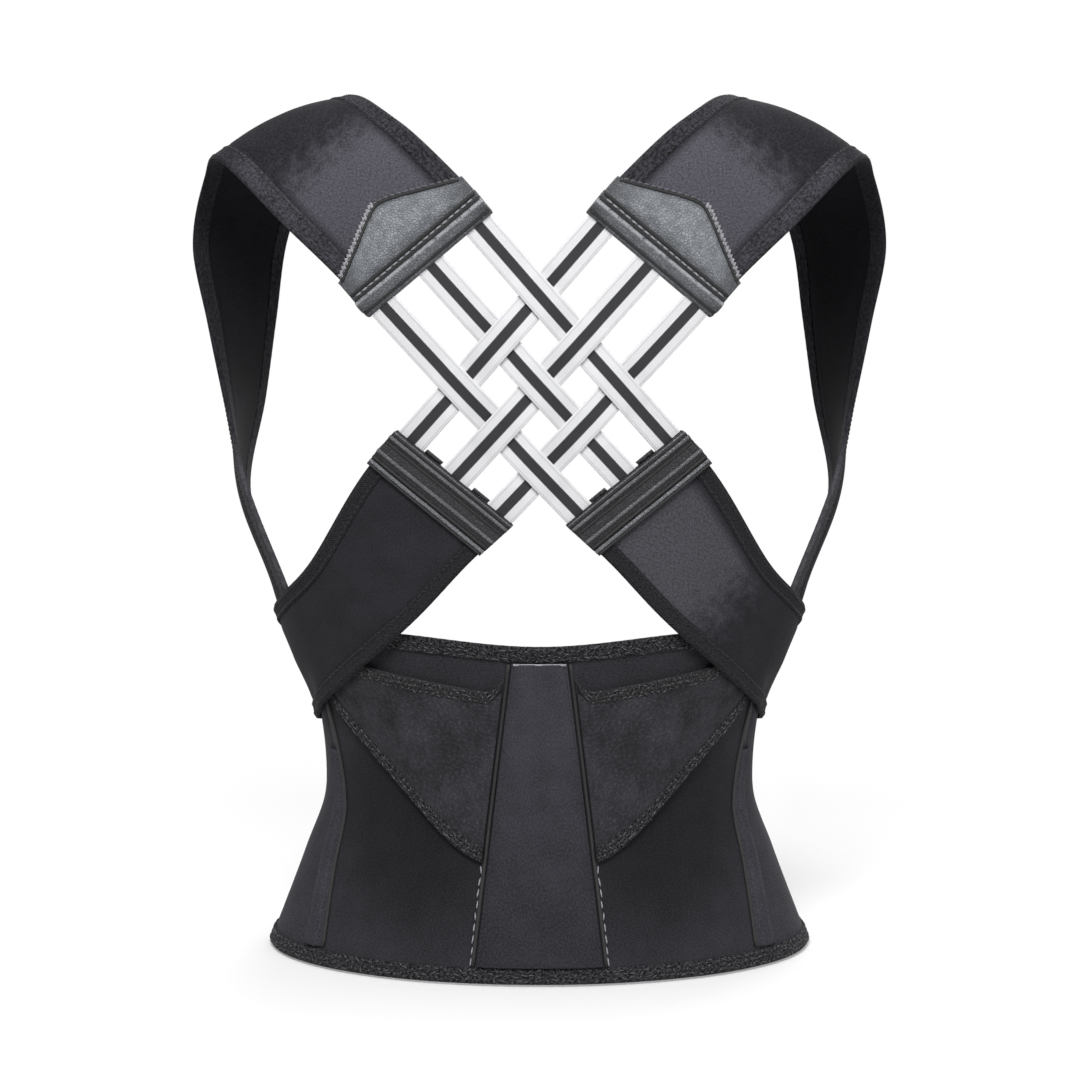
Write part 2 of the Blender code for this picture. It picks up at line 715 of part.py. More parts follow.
def crossing(index, other):
    """Share of a band's length at which a band of the mirrored set crosses it."""
    top, low, _, _ = band_ends(index)
    far_top, far_low, _, _ = band_ends(other)
    run = low - top
    across = Vector((far_top.x - far_low.x, far_low.y - far_top.y))
    to = Vector((-far_top.x, far_top.y)) - top
    return (to.x * across.y - to.y * across.x) / (run.x * across.y - run.y * across.x)


def weave_height(share, crossings, first_over):
    """Height of a band above the cross's middle surface: over one band and under the next."""
    step = 0.5 * (crossings[-1] - crossings[0])
    if share <= crossings[1]:
        count = 1.0 + (share - crossings[1]) / (crossings[1] - crossings[0])
    else:
        count = 1.0 + (share - crossings[1]) / (crossings[2] - crossings[1])
    if step <= 0.0 or not -0.5 < count < 2.5:
        return 0.0
    wave = max(-1.0, min(1.0, WEAVE_SHARPNESS_RATIO * cos(pi * count)))
    return 0.5 * (BAND_THICKNESS + WEAVE_GAP) * wave * first_over


BAND_INDEXES = (1, 0, -1)


def build_elastic(carrier):
    """Six striped elastic bands, woven over and under each other between the four strap ends."""
    for label, side in SIDES:
        for number, index in enumerate(BAND_INDEXES, 1):
            top, low, tab_along, clip_along = band_ends(index)
            run = (low - top).normalized()
            tab_half = 0.5 * BAND_WIDTH * tab_along / abs(tab_along.x * run.y - tab_along.y * run.x)
            clip_half = 0.5 * BAND_WIDTH * clip_along / abs(clip_along.x * run.y - clip_along.y * run.x)
            crossings = [crossing(index, other) for other in BAND_INDEXES]
            order = 1.0 if number % 2 else -1.0

            def band(row, column, face):
                side_step = 2.0 * column - 1.0
                spot = blend(top + tab_half * side_step, low + clip_half * side_step, row)
                layer = CROSS_LAYER + weave_height(row, crossings, -side * order)
                layer += BAND_THICKNESS * (face - 0.5)
                return mirrored(back_point(spot.x, spot.y, layer), side)

            bent_sheet(f"{label}_elastic_{number}", evenly(20), evenly(1), band, ELASTIC, carrier)


# Shoulder straps

FOLD_HEIGHT = CROSS_SIDE_TOP + FOLD_CLEARANCE
NORMAL_STEP = 0.0005


def fold_angle(share):
    """Angle round the body of a place across the strap's lower end."""
    half = 0.5 * FOLD_WIDTH / ARMPIT_HALF_DEPTH
    return blend(FOLD_ANGLE - half, FOLD_ANGLE + half, share)


def tab_row(distance):
    """Outer edge, middle and inner edge of a strap on the back, at a distance from its nose."""
    along = Vector((-cos(TAB_TILT), sin(TAB_TILT)))
    up = Vector((sin(TAB_TILT), cos(TAB_TILT)))
    middle = Vector((TAB_X, TAB_HEIGHT)) + up * distance
    spots = [middle + along * (TAB_WIDTH * share) for share in (-0.5, 0.0, 0.5)]
    return [back_point(spot.x, spot.y, CROSS_LAYER) for spot in spots]


def free_row(middle, turned, lean, width, crown, cup):
    """Outer edge, middle and inner edge of a strap off the body: turned, leaning, arched and cupped."""
    way = Vector((-cos(turned) * cos(lean), sin(turned) * cos(lean), sin(lean))) * (0.5 * width)
    rim = middle - Vector((cup, 0.0, 0.0))
    return [rim - way, middle + Vector((0.0, 0.0, crown)), rim + way]


def shoulder_rows():
    """Rows across a right shoulder strap, from its tab over the shoulder and down to the fold."""
    ridge = Vector((RIDGE_X, -RIDGE_SETBACK, RIDGE_HEIGHT))
    blade = ridge - Vector((BLADE_INSET, BLADE_SETBACK, BLADE_DROP))
    collar = ridge + Vector((COLLAR_OUT, COLLAR_DEPTH, -COLLAR_DROP))
    chest = Vector((CHEST_X, CHEST_DEPTH, CHEST_HEIGHT))
    armhole = Vector((ARMHOLE_X, ARMHOLE_DEPTH, ARMHOLE_HEIGHT))
    breast = blend(chest, armhole, 0.5) + Vector((0.0, CHEST_BULGE, 0.0))
    fold = [body_point(fold_angle(share), FOLD_HEIGHT, ANCHOR_LAYER + 0.5 * STRAP)
            for share in (0.0, 0.5, 1.0)]
    side = blend(armhole, fold[1], 0.5) + Vector((SIDE_BULGE, 0.0, 0.0))
    middles = (blade, ridge, collar, chest, breast, armhole, side)
    widths = (RIDGE_WIDTH, RIDGE_WIDTH, blend(RIDGE_WIDTH, CHEST_WIDTH, 0.5), CHEST_WIDTH,
              blend(CHEST_WIDTH, ARMHOLE_WIDTH, 0.5), ARMHOLE_WIDTH, blend(ARMHOLE_WIDTH, FOLD_WIDTH, 0.5))
    turns = [*evenly(len(middles) - 2, TURN_START, TURN_END), SIDE_TURN]
    crowns = (0.5 * RIDGE_CROWN, RIDGE_CROWN, 0.5 * RIDGE_CROWN, 0.0, 0.0, 0.0, 0.0)
    cups = (0.0, 0.0, 0.0, 0.0, 0.0, ARMHOLE_CUP, SIDE_CUP)
    free = [free_row(*row) for row in zip(middles, turns, LEANS, widths, crowns, cups)]
    return [tab_row(0.0), tab_row(TAB_EDGE_LENGTH), *free, fold]


def shoulder_form():
    """Form, width and length of a right shoulder strap, lofted through its rows."""
    rows = shoulder_rows()
    places = [0.0]
    for a, b in zip(rows, rows[1:]):
        places.append(places[-1] + (b[1] - a[1]).length)
    outer, middle, inner = [[row[k] for row in rows] for k in range(3)]
    step = NORMAL_STEP

    def surface(distance, share):
        low = smooth_through(places, outer, distance)
        mid = smooth_through(places, middle, distance)
        high = smooth_through(places, inner, distance)
        crown = mid - (low + high) * 0.5
        return blend(low, high, share) + crown * (4.0 * share * (1.0 - share))

    def place(distance, share, layer):
        along = surface(distance + step, share) - surface(distance - step, share)
        across = surface(distance, share + step) - surface(distance, share - step)
        outward = along.cross(across).normalized()
        return surface(distance, share) + outward * (layer - 0.5 * STRAP)

    def width(distance):
        return (surface(distance, 1.0) - surface(distance, 0.0)).length

    return place, width, places[-1] - SEAM


def tab_leaf(share):
    """Length of a shoulder tab's outer leaf, which rises to a blunt peak in the middle."""
    slope = (1.0 - abs(2.0 * share - 1.0)) / (1.0 - TAB_PEAK_SHARE)
    return blend(TAB_EDGE_LENGTH, TAB_PEAK_LENGTH, min(1.0, slope))


def build_shoulder_straps(carriers, root):
    """Shoulder straps with their leather tabs, and the ends sewn to the belt's sides."""
    place, width, length = shoulder_form()
    roll = (TAB_ROLL_START - TAB_ROLL_END) * 0.25
    ridges = ((TAB_ROLL_START, 0.0), (TAB_ROLL_START - roll, RIB_RISE), (TAB_ROLL_END + roll, RIB_RISE),
              (TAB_ROLL_END, 0.0), (TAB_ROLL_END - roll, 0.5 * RIB_RISE), (0.0, 0.5 * RIB_RISE))
    peak = 0.5 * (1.0 - TAB_PEAK_SHARE)
    columns = (0.0, 0.5 * peak, peak, 1.0 - peak, 1.0 - 0.5 * peak, 1.0)
    stations = evenly(5, STRAP_START, TAB_PEAK_LENGTH) + evenly(28, TAB_PEAK_LENGTH, length)[1:]
    for label, side in SIDES:
        def placed(distance, share, layer):
            return mirrored(place(distance, share, layer), side)

        def anchor(row, column, face):
            height = FOLD_HEIGHT - 0.5 * STRAP - ANCHOR_LENGTH * row
            layer = ANCHOR_LAYER + STRAP * face
            return mirrored(body_point(fold_angle(column), height, layer), side)

        name = label + "_shoulder_strap"
        strap_pieces(name, placed, width, stations, carriers[label])
        strap_end(label + "_shoulder_tab", placed, tab_leaf, 4, ridges, columns, carriers[label])
        bent_sheet(label + "_strap_anchor", evenly(3), evenly(4), anchor, FABRIC, root)


def fold_axis():
    """Point on the axis about which a right shoulder strap lifts off the side."""
    reach = ANCHOR_LAYER + STRAP + HINGE_OFFSET
    outermost = max(body_point(fold_angle(k / 8), FOLD_HEIGHT, reach).x for k in range(9))
    return Vector((outermost, 0.0, FOLD_HEIGHT))


def flap_axis():
    """Point on the upright axis about which the right front flap opens."""
    return body_point(FLAP_ANGLE, 0.0, ON_BELT + TAPE + HINGE_OFFSET)


def main():
    """Build the brace from its belt outwards."""
    for leftover in list(bpy.data.objects):
        bpy.data.objects.remove(leftover)
    root = pivot_empty("brace_frame", (0.0, 0.0, 0.0))
    folds = {label: pivot_empty(label + "_strap_fold", mirrored(fold_axis(), side)) for label, side in SIDES}
    hinges = {label: pivot_empty(label + "_flap_hinge", mirrored(flap_axis(), side)) for label, side in SIDES}
    build_belt(root)
    build_spine(root)
    build_side_bones(root)
    build_wings(root)
    build_cross_straps(root)
    build_elastic(root)
    build_flaps(hinges)
    build_shoulder_straps(folds, root)


main()
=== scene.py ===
"""Looks of a back brace: brushed cloth, folded tapes, stitching, leatherette ends and woven elastic.

Metres, +Z up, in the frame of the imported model. The wearer's back faces -Y. Cloths, tapes and leathers are
closed sheets bent over the body they were cut for, and stitches and cords are strands laid on them.
"""
import logging
from bisect import bisect_right
from dataclasses import dataclass, field
from enum import Enum
from functools import cache
from itertools import accumulate
from math import asin, ceil, cos, hypot, pi, radians, sin, sqrt
from typing import Callable, ClassVar, Optional, Protocol, Sequence, Union

import bmesh
import bpy
from mathutils import Matrix, Vector, noise


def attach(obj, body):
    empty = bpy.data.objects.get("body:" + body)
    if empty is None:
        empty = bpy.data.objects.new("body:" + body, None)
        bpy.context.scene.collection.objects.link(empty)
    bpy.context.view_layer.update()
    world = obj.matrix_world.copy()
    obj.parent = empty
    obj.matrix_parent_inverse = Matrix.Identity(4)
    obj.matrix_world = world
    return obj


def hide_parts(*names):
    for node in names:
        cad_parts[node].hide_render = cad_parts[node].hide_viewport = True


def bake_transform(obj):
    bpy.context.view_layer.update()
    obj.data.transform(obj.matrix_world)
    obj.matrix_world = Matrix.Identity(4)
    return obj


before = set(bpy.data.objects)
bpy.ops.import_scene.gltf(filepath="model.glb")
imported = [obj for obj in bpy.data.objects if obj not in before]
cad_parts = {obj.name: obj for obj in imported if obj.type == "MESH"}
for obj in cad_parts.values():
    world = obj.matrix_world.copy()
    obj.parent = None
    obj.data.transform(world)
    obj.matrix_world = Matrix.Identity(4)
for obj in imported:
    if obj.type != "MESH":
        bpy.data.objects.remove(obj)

LOG = logging.getLogger("back_brace")
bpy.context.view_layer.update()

Number = Union[float, Vector]
Pair = tuple[float, float]
Triple = tuple[float, float, float]
Colour = tuple[float, float, float, float]
Profile = Callable[[float], float]
Layers = Callable[[float, float], Pair]
Place = Callable[[float, float, float], Vector]
Inputs = dict[Union[int, str], object]
Piece = bpy.types.Object
Tree = bpy.types.NodeTree

BLACK: Colour = (0.0, 0.0, 0.0, 1.0)
WHITE: Colour = (1.0, 1.0, 1.0, 1.0)


def ease(share: float) -> float:
    """Smooth step from 0 to 1."""
    t = min(max(share, 0.0), 1.0)
    return t * t * (3.0 - 2.0 * t)


def blend(start: Number, end: Number, share: float) -> Number:
    """Straight blend of two numbers or points."""
    return start + (end - start) * share


def evenly(count: int, start: float = 0.0, end: float = 1.0) -> list[float]:
    """Evenly spaced places, both ends included."""
    return [blend(start, end, k / count) for k in range(count + 1)]


def distances(points: Sequence[Vector]) -> list[float]:
    """Distance of each point from the first one, in straight steps from point to point."""
    return [0.0, *accumulate((b - a).length for a, b in zip(points, points[1:]))]


def run_length(place: Place, across: float, count: int) -> float:
    """Length of a form along one of its lines, in short straight steps."""
    return distances([place(along, across, 0.0) for along in evenly(count)])[-1]


def shifted(place: Place, aside: float, lift: float) -> Place:
    """Form moved aside and lifted off its face."""
    return lambda along, across, layer: place(along, across + aside, layer + lift)


def even(high: float, low: float = 0.0) -> Layers:
    """Layers of a sheet that is equally thick all over."""
    return lambda _along, _across: (low, high)


def shade(red: int, green: int, blue: int) -> Colour:
    """Scene colour of a colour written in the 0 to 255 steps of a screen."""
    def linear(step: int) -> float:
        """One channel without the screen's curve."""
        value = step / 255.0
        return value / 12.92 if value <= 0.04045 else ((value + 0.055) / 1.055) ** 2.4

    return (linear(red), linear(green), linear(blue), 1.0)


def dimmed(colour: Colour, share: float) -> Colour:
    """Colour that keeps a share of its light."""
    return (*(share * step for step in colour[:3]), 1.0)


class Curve:
    """Smooth curve through numbers or points that stand at given places."""

    def __init__(self, places: Sequence[float], values: Sequence[Number]) -> None:
        """Keep the places and work out the slope at each of them."""
        self.places = list(places)
        self.values = list(values)
        last = len(self.places) - 1
        self.slopes = []
        for k in range(last + 1):
            low, high = max(k - 1, 0), min(k + 1, last)
            rise = self.values[high] - self.values[low]
            self.slopes.append(rise / (self.places[high] - self.places[low]))

    def __call__(self, place: float) -> Number:
        """Read the curve at a place."""
        k = min(max(bisect_right(self.places, place) - 1, 0), len(self.places) - 2)
        span = self.places[k + 1] - self.places[k]
        t = (place - self.places[k]) / span
        step = (self.values[k + 1] - self.values[k]) * (t * t * (3.0 - 2.0 * t))
        lead = self.slopes[k] * (span * t * (1.0 - t) * (1.0 - t))
        trail = self.slopes[k + 1] * (span * t * t * (t - 1.0))
        return self.values[k] + step + lead + trail


class Side(Enum):
    """Side of the wearer's body."""

    LEFT = -1.0
    RIGHT = 1.0

    @property
    def label(self) -> str:
        """Word that starts the names of this side's pieces."""
        return self.name.lower()

    def mirror(self, point: Vector) -> Vector:
        """Point of the right side, moved to this side."""
        return Vector((point.x * self.value, point.y, point.z))

    def mirrored(self, place: Place) -> Place:
        """Form of the right side, moved to this side."""
        return lambda along, across, layer: self.mirror(place(along, across, layer))


# Body and belt outline


@dataclass
class Torso:
    """Body that the brace is cut for."""

    levels: tuple[Triple, ...] = (
        (0.0, 0.1500, 0.0965), (0.054, 0.1295, 0.0885), (0.090, 0.1178, 0.0835), (0.150, 0.1242, 0.0865),
        (0.196, 0.1405, 0.0915), (0.326, 0.174, 0.104), (0.446, 0.182, 0.102))
    ripple: float = 0.00035
    ripples_round: float = 3.2
    ripples_up: float = 22.0
    wide: Curve = field(init=False)
    deep: Curve = field(init=False)

    def __post_init__(self) -> None:
        """Draw the width and depth curves through the levels."""
        heights = [level[0] for level in self.levels]
        self.wide = Curve(heights, [level[1] for level in self.levels])
        self.deep = Curve(heights, [level[2] for level in self.levels])

    def point(self, angle: float, height: float, layer: float = 0.0) -> Vector:
        """Point at an angle from the middle of the back, a layer's height off the body.

        Args:
            angle: Turn round the body, positive to the wearer's right.
            height: Height above the hem.
            layer: Distance off the body.

        Returns:
            The point, with the shallow ripple that every layer of cloth shares.
        """
        wide, deep = self.wide(height), self.deep(height)
        outward = Vector((deep * sin(angle), -wide * cos(angle), 0.0)).normalized()
        spot = Vector((self.ripples_round * sin(angle), self.ripples_round * cos(angle),
                       self.ripples_up * height))
        wave = self.ripple * noise.noise(spot)
        return Vector((wide * sin(angle), -deep * cos(angle), height)) + outward * (layer + wave)

    def angle_at(self, x: float, height: float) -> float:
        """Angle round the body of a point x beside the middle of the back."""
        return asin(max(-1.0, min(1.0, x / self.wide(height))))

    def back_point(self, x: float, height: float, layer: float) -> Vector:
        """Point of the back, found by its distance beside the spine."""
        return self.point(self.angle_at(x, height), height, layer)


@dataclass(frozen=True)
class Gauge:
    """Thicknesses of the cloths and tapes, and the layers at which they lie on the body."""

    cloth: float = 0.0020
    strap: float = 0.0026
    tape: float = 0.0005
    leather: float = 0.0012
    casing: float = 0.0010
    layer_gap: float = 0.0006
    seam: float = 0.0004
    tape_leg: float = 0.009

    @property
    def on_belt(self) -> float:
        """Layer of a piece that lies on the belt's cloth."""
        return self.cloth + self.layer_gap

    @property
    def anchor(self) -> float:
        """Layer of a shoulder strap's sewn end."""
        return self.on_belt + self.tape + self.layer_gap

    @property
    def over_anchor(self) -> float:
        """Layer of a cross strap where it covers the shoulder strap's end."""
        return self.anchor + self.strap + self.layer_gap


TORSO = Torso()
GAUGE = Gauge()


@dataclass(frozen=True)
class BeltLine:
    """Outline of the waist belt, with angles measured from the middle of the back."""

    back_top: float = 0.182
    back_scoop: float = 0.005
    scoop_angle: float = radians(36)
    front_drop: float = 0.058
    drop_angle: float = radians(80)
    front_hem_rise: float = 0.020
    hem_rise_angle: float = radians(100)
    seam_hem_angle: float = radians(56)
    seam_top_angle: float = radians(78)
    flap_angle: float = radians(118)
    front_overlap: float = 0.050
    waist_half_width: float = 0.1178
    waist_half_depth: float = 0.0835
    margin: float = 0.0011

    @staticmethod
    def turn(angle: float) -> float:
        """Angle from the middle of the back, whichever way round it is counted."""
        return min(abs(angle), 2.0 * pi - abs(angle))

    def top(self, angle: float) -> float:
        """Height of the top edge: scooped at the spine, lower at the front."""
        scoop = self.back_scoop * ease(self.turn(angle) / self.scoop_angle)
        drop = self.front_drop * ease((self.turn(angle) - self.drop_angle) / (pi - self.drop_angle))
        return self.back_top + scoop - drop

    def hem(self, angle: float) -> float:
        """Height of the lower edge: flat at the back, raised at the front."""
        share = (self.turn(angle) - self.hem_rise_angle) / (pi - self.hem_rise_angle)
        return self.front_hem_rise * ease(share)

    def height(self, angle: float, share: float) -> float:
        """Height at a share of the way up the cloth."""
        return blend(self.hem(angle) + self.margin, self.top(angle) - self.margin, share)

    def side_seam(self, share: float) -> float:
        """Angle of the seam between a back panel and a side panel."""
        return blend(self.seam_hem_angle, self.seam_top_angle, share)

    @property
    def seam_gap(self) -> float:
        """Half of the gap at a seam, as an angle."""
        return 0.5 * GAUGE.seam / self.waist_half_depth

    @property
    def overlap(self) -> float:
        """Half of the front overlap, as an angle."""
        return asin(0.5 * self.front_overlap / self.waist_half_width)


BELT = BeltLine()


# Shader patterns


def summed(operation: str) -> Callable[..., "Value"]:
    """Operator of a value that adds a node for one kind of sum."""
    return lambda value, other=0.0: value.graph.math(operation, value, other)


class Value:
    """Number, place or colour that flows through a node tree and adds up like a plain number."""

    def __init__(self, graph: "Graph", socket: bpy.types.NodeSocket) -> None:
        """Keep the socket that gives it."""
        self.graph = graph
        self.socket = socket

    def __rsub__(self, other: float) -> "Value":
        """Difference of a plain number and a value."""
        return self.graph.math("SUBTRACT", other, self)

    __add__ = summed("ADD")
    __sub__ = summed("SUBTRACT")
    __mul__ = summed("MULTIPLY")
    __truediv__ = summed("DIVIDE")
    __abs__ = summed("ABSOLUTE")


class Graph:
    """Adds and links the nodes of one tree."""

    def __init__(self, tree: Tree) -> None:
        """Keep the tree that the nodes go into."""
        self.tree = tree

    def feed(self, node: bpy.types.Node, inputs: Inputs) -> None:
        """Set or link the inputs of a node, by name or index."""
        for key, value in inputs.items():
            if isinstance(value, Value):
                self.tree.links.new(value.socket, node.inputs[key])
            else:
                node.inputs[key].default_value = value

    def add(self, kind: str, inputs: Optional[Inputs] = None, **settings: object) -> bpy.types.Node:
        """Add one node.

        Args:
            kind: Blender's name for the node.
            inputs: Value of each input, by name or index.
            settings: Properties of the node.

        Returns:
            The new node.
        """
        node = self.tree.nodes.new(kind)
        for key, value in settings.items():
            setattr(node, key, value)
        self.feed(node, inputs or {})
        return node

    def read(self, kind: str, inputs: Optional[Inputs] = None, output: Union[int, str] = 0,
             **settings: object) -> Value:
        """Add one node and take one of its outputs, by name or index."""
        return Value(self, self.add(kind, inputs, **settings).outputs[output])

    def outputs(self, kind: str, inputs: Optional[Inputs] = None, **settings: object) -> dict[str, Value]:
        """Add one node and take all of its outputs by name."""
        return {socket.name: Value(self, socket) for socket in self.add(kind, inputs, **settings).outputs}

    def use(self, tree: Tree, inputs: Inputs) -> dict[str, Value]:
        """Place a pattern in a material and take its outputs by name."""
        return self.outputs("ShaderNodeGroup", inputs, node_tree=tree)

    def object_place(self) -> Value:
        """Place on the object, in its own frame."""
        return self.read("ShaderNodeTexCoord", output="Object")

    def split(self, place: Value) -> list[Value]:
        """The three numbers of a place."""
        return list(self.outputs("ShaderNodeSeparateXYZ", {0: place}).values())

    def math(self, operation: str, first: object, second: object = 0.0, clamp: bool = False) -> Value:
        """Result of a sum on one or two values."""
        return self.read("ShaderNodeMath", {0: first, 1: second}, operation=operation, use_clamp=clamp)

    def ramp(self, value: Value, low: float, high: float) -> Value:
        """Value stretched so that low gives 0 and high gives 1, with a soft start and end."""
        return self.read("ShaderNodeMapRange", {0: value, 1: low, 2: high, 3: 0.0, 4: 1.0},
                         interpolation_type="SMOOTHSTEP")

    def mix(self, share: Value, first: object, second: object) -> Value:
        """Colour between two colours."""
        return self.read("ShaderNodeMix", {0: share, 6: first, 7: second}, 2, data_type="RGBA")

    def noise(self, place: Value, scale: object, detail: float = 2.0, rough: float = 0.5) -> Value:
        """Soft noise of a given scale."""
        return self.read("ShaderNodeTexNoise", {"Vector": place, "Scale": scale, "Detail": detail,
                                                "Roughness": rough}, "Fac")

    def bump(self, height: Value, depth: float) -> Value:
        """Relief of some depth in metres."""
        return self.read("ShaderNodeBump", {"Height": height, "Distance": depth, "Strength": 1.0})


class Pattern(Graph):
    """Node group that reads a place on the cloth."""

    def __init__(self, name: str, **numbers: float) -> None:
        """Start the group with the numbers that it takes, each with its usual value."""
        super().__init__(bpy.data.node_groups.new(name, "ShaderNodeTree"))
        sockets = self.tree.interface
        sockets.new_socket("Place", in_out="INPUT", socket_type="NodeSocketVector")
        for key, value in numbers.items():
            sockets.new_socket(key, in_out="INPUT", socket_type="NodeSocketFloat").default_value = value
        self.take = self.outputs("NodeGroupInput")

    def give(self, **results: Value) -> Tree:
        """Close the group with the masks and heights that it gives."""
        for key in results:
            self.tree.interface.new_socket(key, in_out="OUTPUT", socket_type="NodeSocketFloat")
        self.feed(self.add("NodeGroupOutput"), results)
        return self.tree


@cache
def nap_pattern() -> Tree:
    """Short brushed fibres: pale flecks, broad cloudy patches and a fine relief."""
    graph = Pattern("brushed_nap", Fleck=900.0, Cloud=45.0, Sparse=0.0)
    place = graph.take["Place"]
    longer = graph.read("ShaderNodeMapping", {"Vector": place, "Scale": (0.45, 1.0, 1.0)})
    fine = graph.noise(longer, graph.take["Fleck"], 3.0, 0.7)
    tuft = graph.noise(place, graph.take["Fleck"] * 0.5, 2.0, 0.6)
    both = fine * 0.72 + tuft * 0.28
    clouds = graph.noise(place, graph.take["Cloud"], 3.0, 0.6)
    return graph.give(Flecks=graph.ramp(both - graph.take["Sparse"], 0.40, 0.64),
                      Clouds=graph.ramp(clouds, 0.30, 0.70), Relief=both)


@cache
def rib_pattern() -> Tree:
    """Knitted ribs that lean to and fro, as on an overlocked or knitted tape."""
    graph = Pattern("knit_ribs", Pitch=0.0019, Wale=0.0030)
    place = graph.take["Place"]
    along, across, _ = graph.split(place)
    lean = graph.math("PINGPONG", across, graph.take["Wale"])
    fuzz = graph.noise(place, 1400.0, 2.0, 0.6)
    course = (along + lean) / graph.take["Pitch"] + fuzz * 0.55
    ribs = graph.ramp(graph.math("SINE", course * (2.0 * pi)), -0.8, 0.9)
    knots = graph.ramp(graph.noise(place, 780.0, 2.0, 0.6), 0.44, 0.58)
    return graph.give(Ribs=ribs, Fuzz=graph.ramp(fuzz, 0.35, 0.68), Knots=knots, Relief=ribs + fuzz * 0.6)


@cache
def grain_pattern() -> Tree:
    """Pebbled leather grain with worn high spots."""
    graph = Pattern("leather_grain", Pebble=620.0)
    place = graph.take["Place"]
    bent = graph.noise(place, 300.0, 2.0) * 0.0010
    pushed = graph.read("ShaderNodeVectorMath", {0: place, 1: bent}, operation="ADD")
    cells = graph.read("ShaderNodeTexVoronoi", {"Vector": pushed, "Scale": graph.take["Pebble"]}, "Distance",
                       feature="DISTANCE_TO_EDGE")
    relief = graph.ramp(cells, 0.0, 0.22)
    wear = graph.ramp(graph.noise(place, 130.0, 6.0, 0.75), 0.35, 0.66)
    return graph.give(Pores=1.0 - relief, Wear=wear, Relief=relief)


@cache
def cord_pattern() -> Tree:
    """Woven elastic: cords along the band, a dark middle stripe and a thin line of painted shade near each
    edge.
    """
    graph = Pattern("elastic_cords", Width=0.016, Stripe=0.0053, Cord=0.00086)
    along, across, _ = graph.split(graph.take["Place"])
    half = graph.take["Width"] * 0.5
    off = abs(across - half)
    ragged = (graph.noise(graph.take["Place"], 1500.0) - 0.5) * 0.0005
    reach = graph.take["Stripe"] * 0.5 + ragged
    line = abs(half - off - 0.0013)
    cords = graph.math("SINE", across / graph.take["Cord"] * (2.0 * pi))
    weft = graph.math("SINE", along * (2.0 * pi / 0.0011))
    weave = cords * (weft * 0.45 + 0.75)
    return graph.give(Stripe=graph.ramp(reach - off, -0.00022, 0.00022),
                      # Painted shade line near each edge.
                      Edges=1.0 - graph.ramp(line, 0.0001, 0.00045),
                      Weft=graph.ramp(weave, -1.0, 1.0), Relief=weave)


# Finishes


class Coordinates(Enum):
    """Where a finish reads its pattern."""

    FLAT = "flat"
    OBJECT = "object"


@dataclass(frozen=True)
class Finish:
    """Base of the finishes: one material, made once."""

    name: str
    slot: str
    reads: ClassVar[Coordinates] = Coordinates.FLAT

    @cache
    def material(self) -> bpy.types.Material:
        """Material of this finish, made when it is first used."""
        material = bpy.data.materials.new(self.name)
        material.use_nodes = True
        graph = Graph(material.node_tree)
        if self.reads is Coordinates.FLAT:
            spot = graph.read("ShaderNodeUVMap", uv_map="flat")
        else:
            spot = graph.object_place()
        graph.feed(material.node_tree.nodes["Principled BSDF"], self.draw(graph, spot))
        return material

    def draw(self, graph: Graph, spot: Value) -> Inputs:
        """Inputs of the Principled shader at a spot; each finish draws its own."""
        raise NotImplementedError

    def tone(self, _graph: Graph, colour: Value, _spot: Value) -> Value:
        """Colour at a spot; a finish that is worn or shaded in places changes it."""
        return colour


@dataclass(frozen=True)
class BrushedCloth(Finish):
    """Matt brushed cloth with a short speckled nap."""

    dark: Colour
    light: Colour
    fleck: float = 1200.0
    sparse: float = 0.0
    mottle: float = 0.28
    depth: float = 0.00022

    def draw(self, graph: Graph, spot: Value) -> Inputs:
        """Dark ground, pale flecks and cloudy patches."""
        nap = graph.use(nap_pattern(), {"Place": spot, "Fleck": self.fleck, "Sparse": self.sparse})
        share = nap["Flecks"] * (1.0 - self.mottle) + nap["Clouds"] * self.mottle
        return {"Base Color": self.tone(graph, graph.mix(share, self.dark, self.light), spot),
                "Roughness": nap["Flecks"] * -0.10 + 0.95, "Specular IOR Level": 0.06, "Sheen Weight": 0.05,
                "Sheen Roughness": 0.4, "Normal": graph.bump(nap["Relief"], self.depth)}


@dataclass(frozen=True)
class HollowCloth(BrushedCloth):
    """Brushed cloth with painted shade in the small of the back."""

    middle: Pair = (0.062, 0.078)
    reach: Pair = (0.050, 0.062)
    shadow: float = 0.50

    def tone(self, graph: Graph, colour: Value, _spot: Value) -> Value:
        """Paint shade on an oval patch on each side of the spine."""
        aside, _, above = graph.split(graph.object_place())
        ways = (abs(aside) - self.middle[0], above - self.middle[1])
        wide, high = (graph.math("POWER", way / reach, 2.0) for way, reach in zip(ways, self.reach))
        near = 1.0 - graph.ramp(wide + high, 0.0, 1.6)
        return graph.mix(near * self.shadow, colour, BLACK)


@dataclass(frozen=True)
class GradedCloth(BrushedCloth):
    """Brushed cloth with painted shade that darkens it towards its lower end."""

    foot: float = 0.020
    head: float = 0.160
    shadow: float = 0.36

    def tone(self, graph: Graph, colour: Value, _spot: Value) -> Value:
        """Paint shade on the cloth by its height."""
        _, _, height = graph.split(graph.object_place())
        low = 1.0 - graph.ramp(height, self.foot, self.head)
        return graph.mix(low * self.shadow, colour, BLACK)


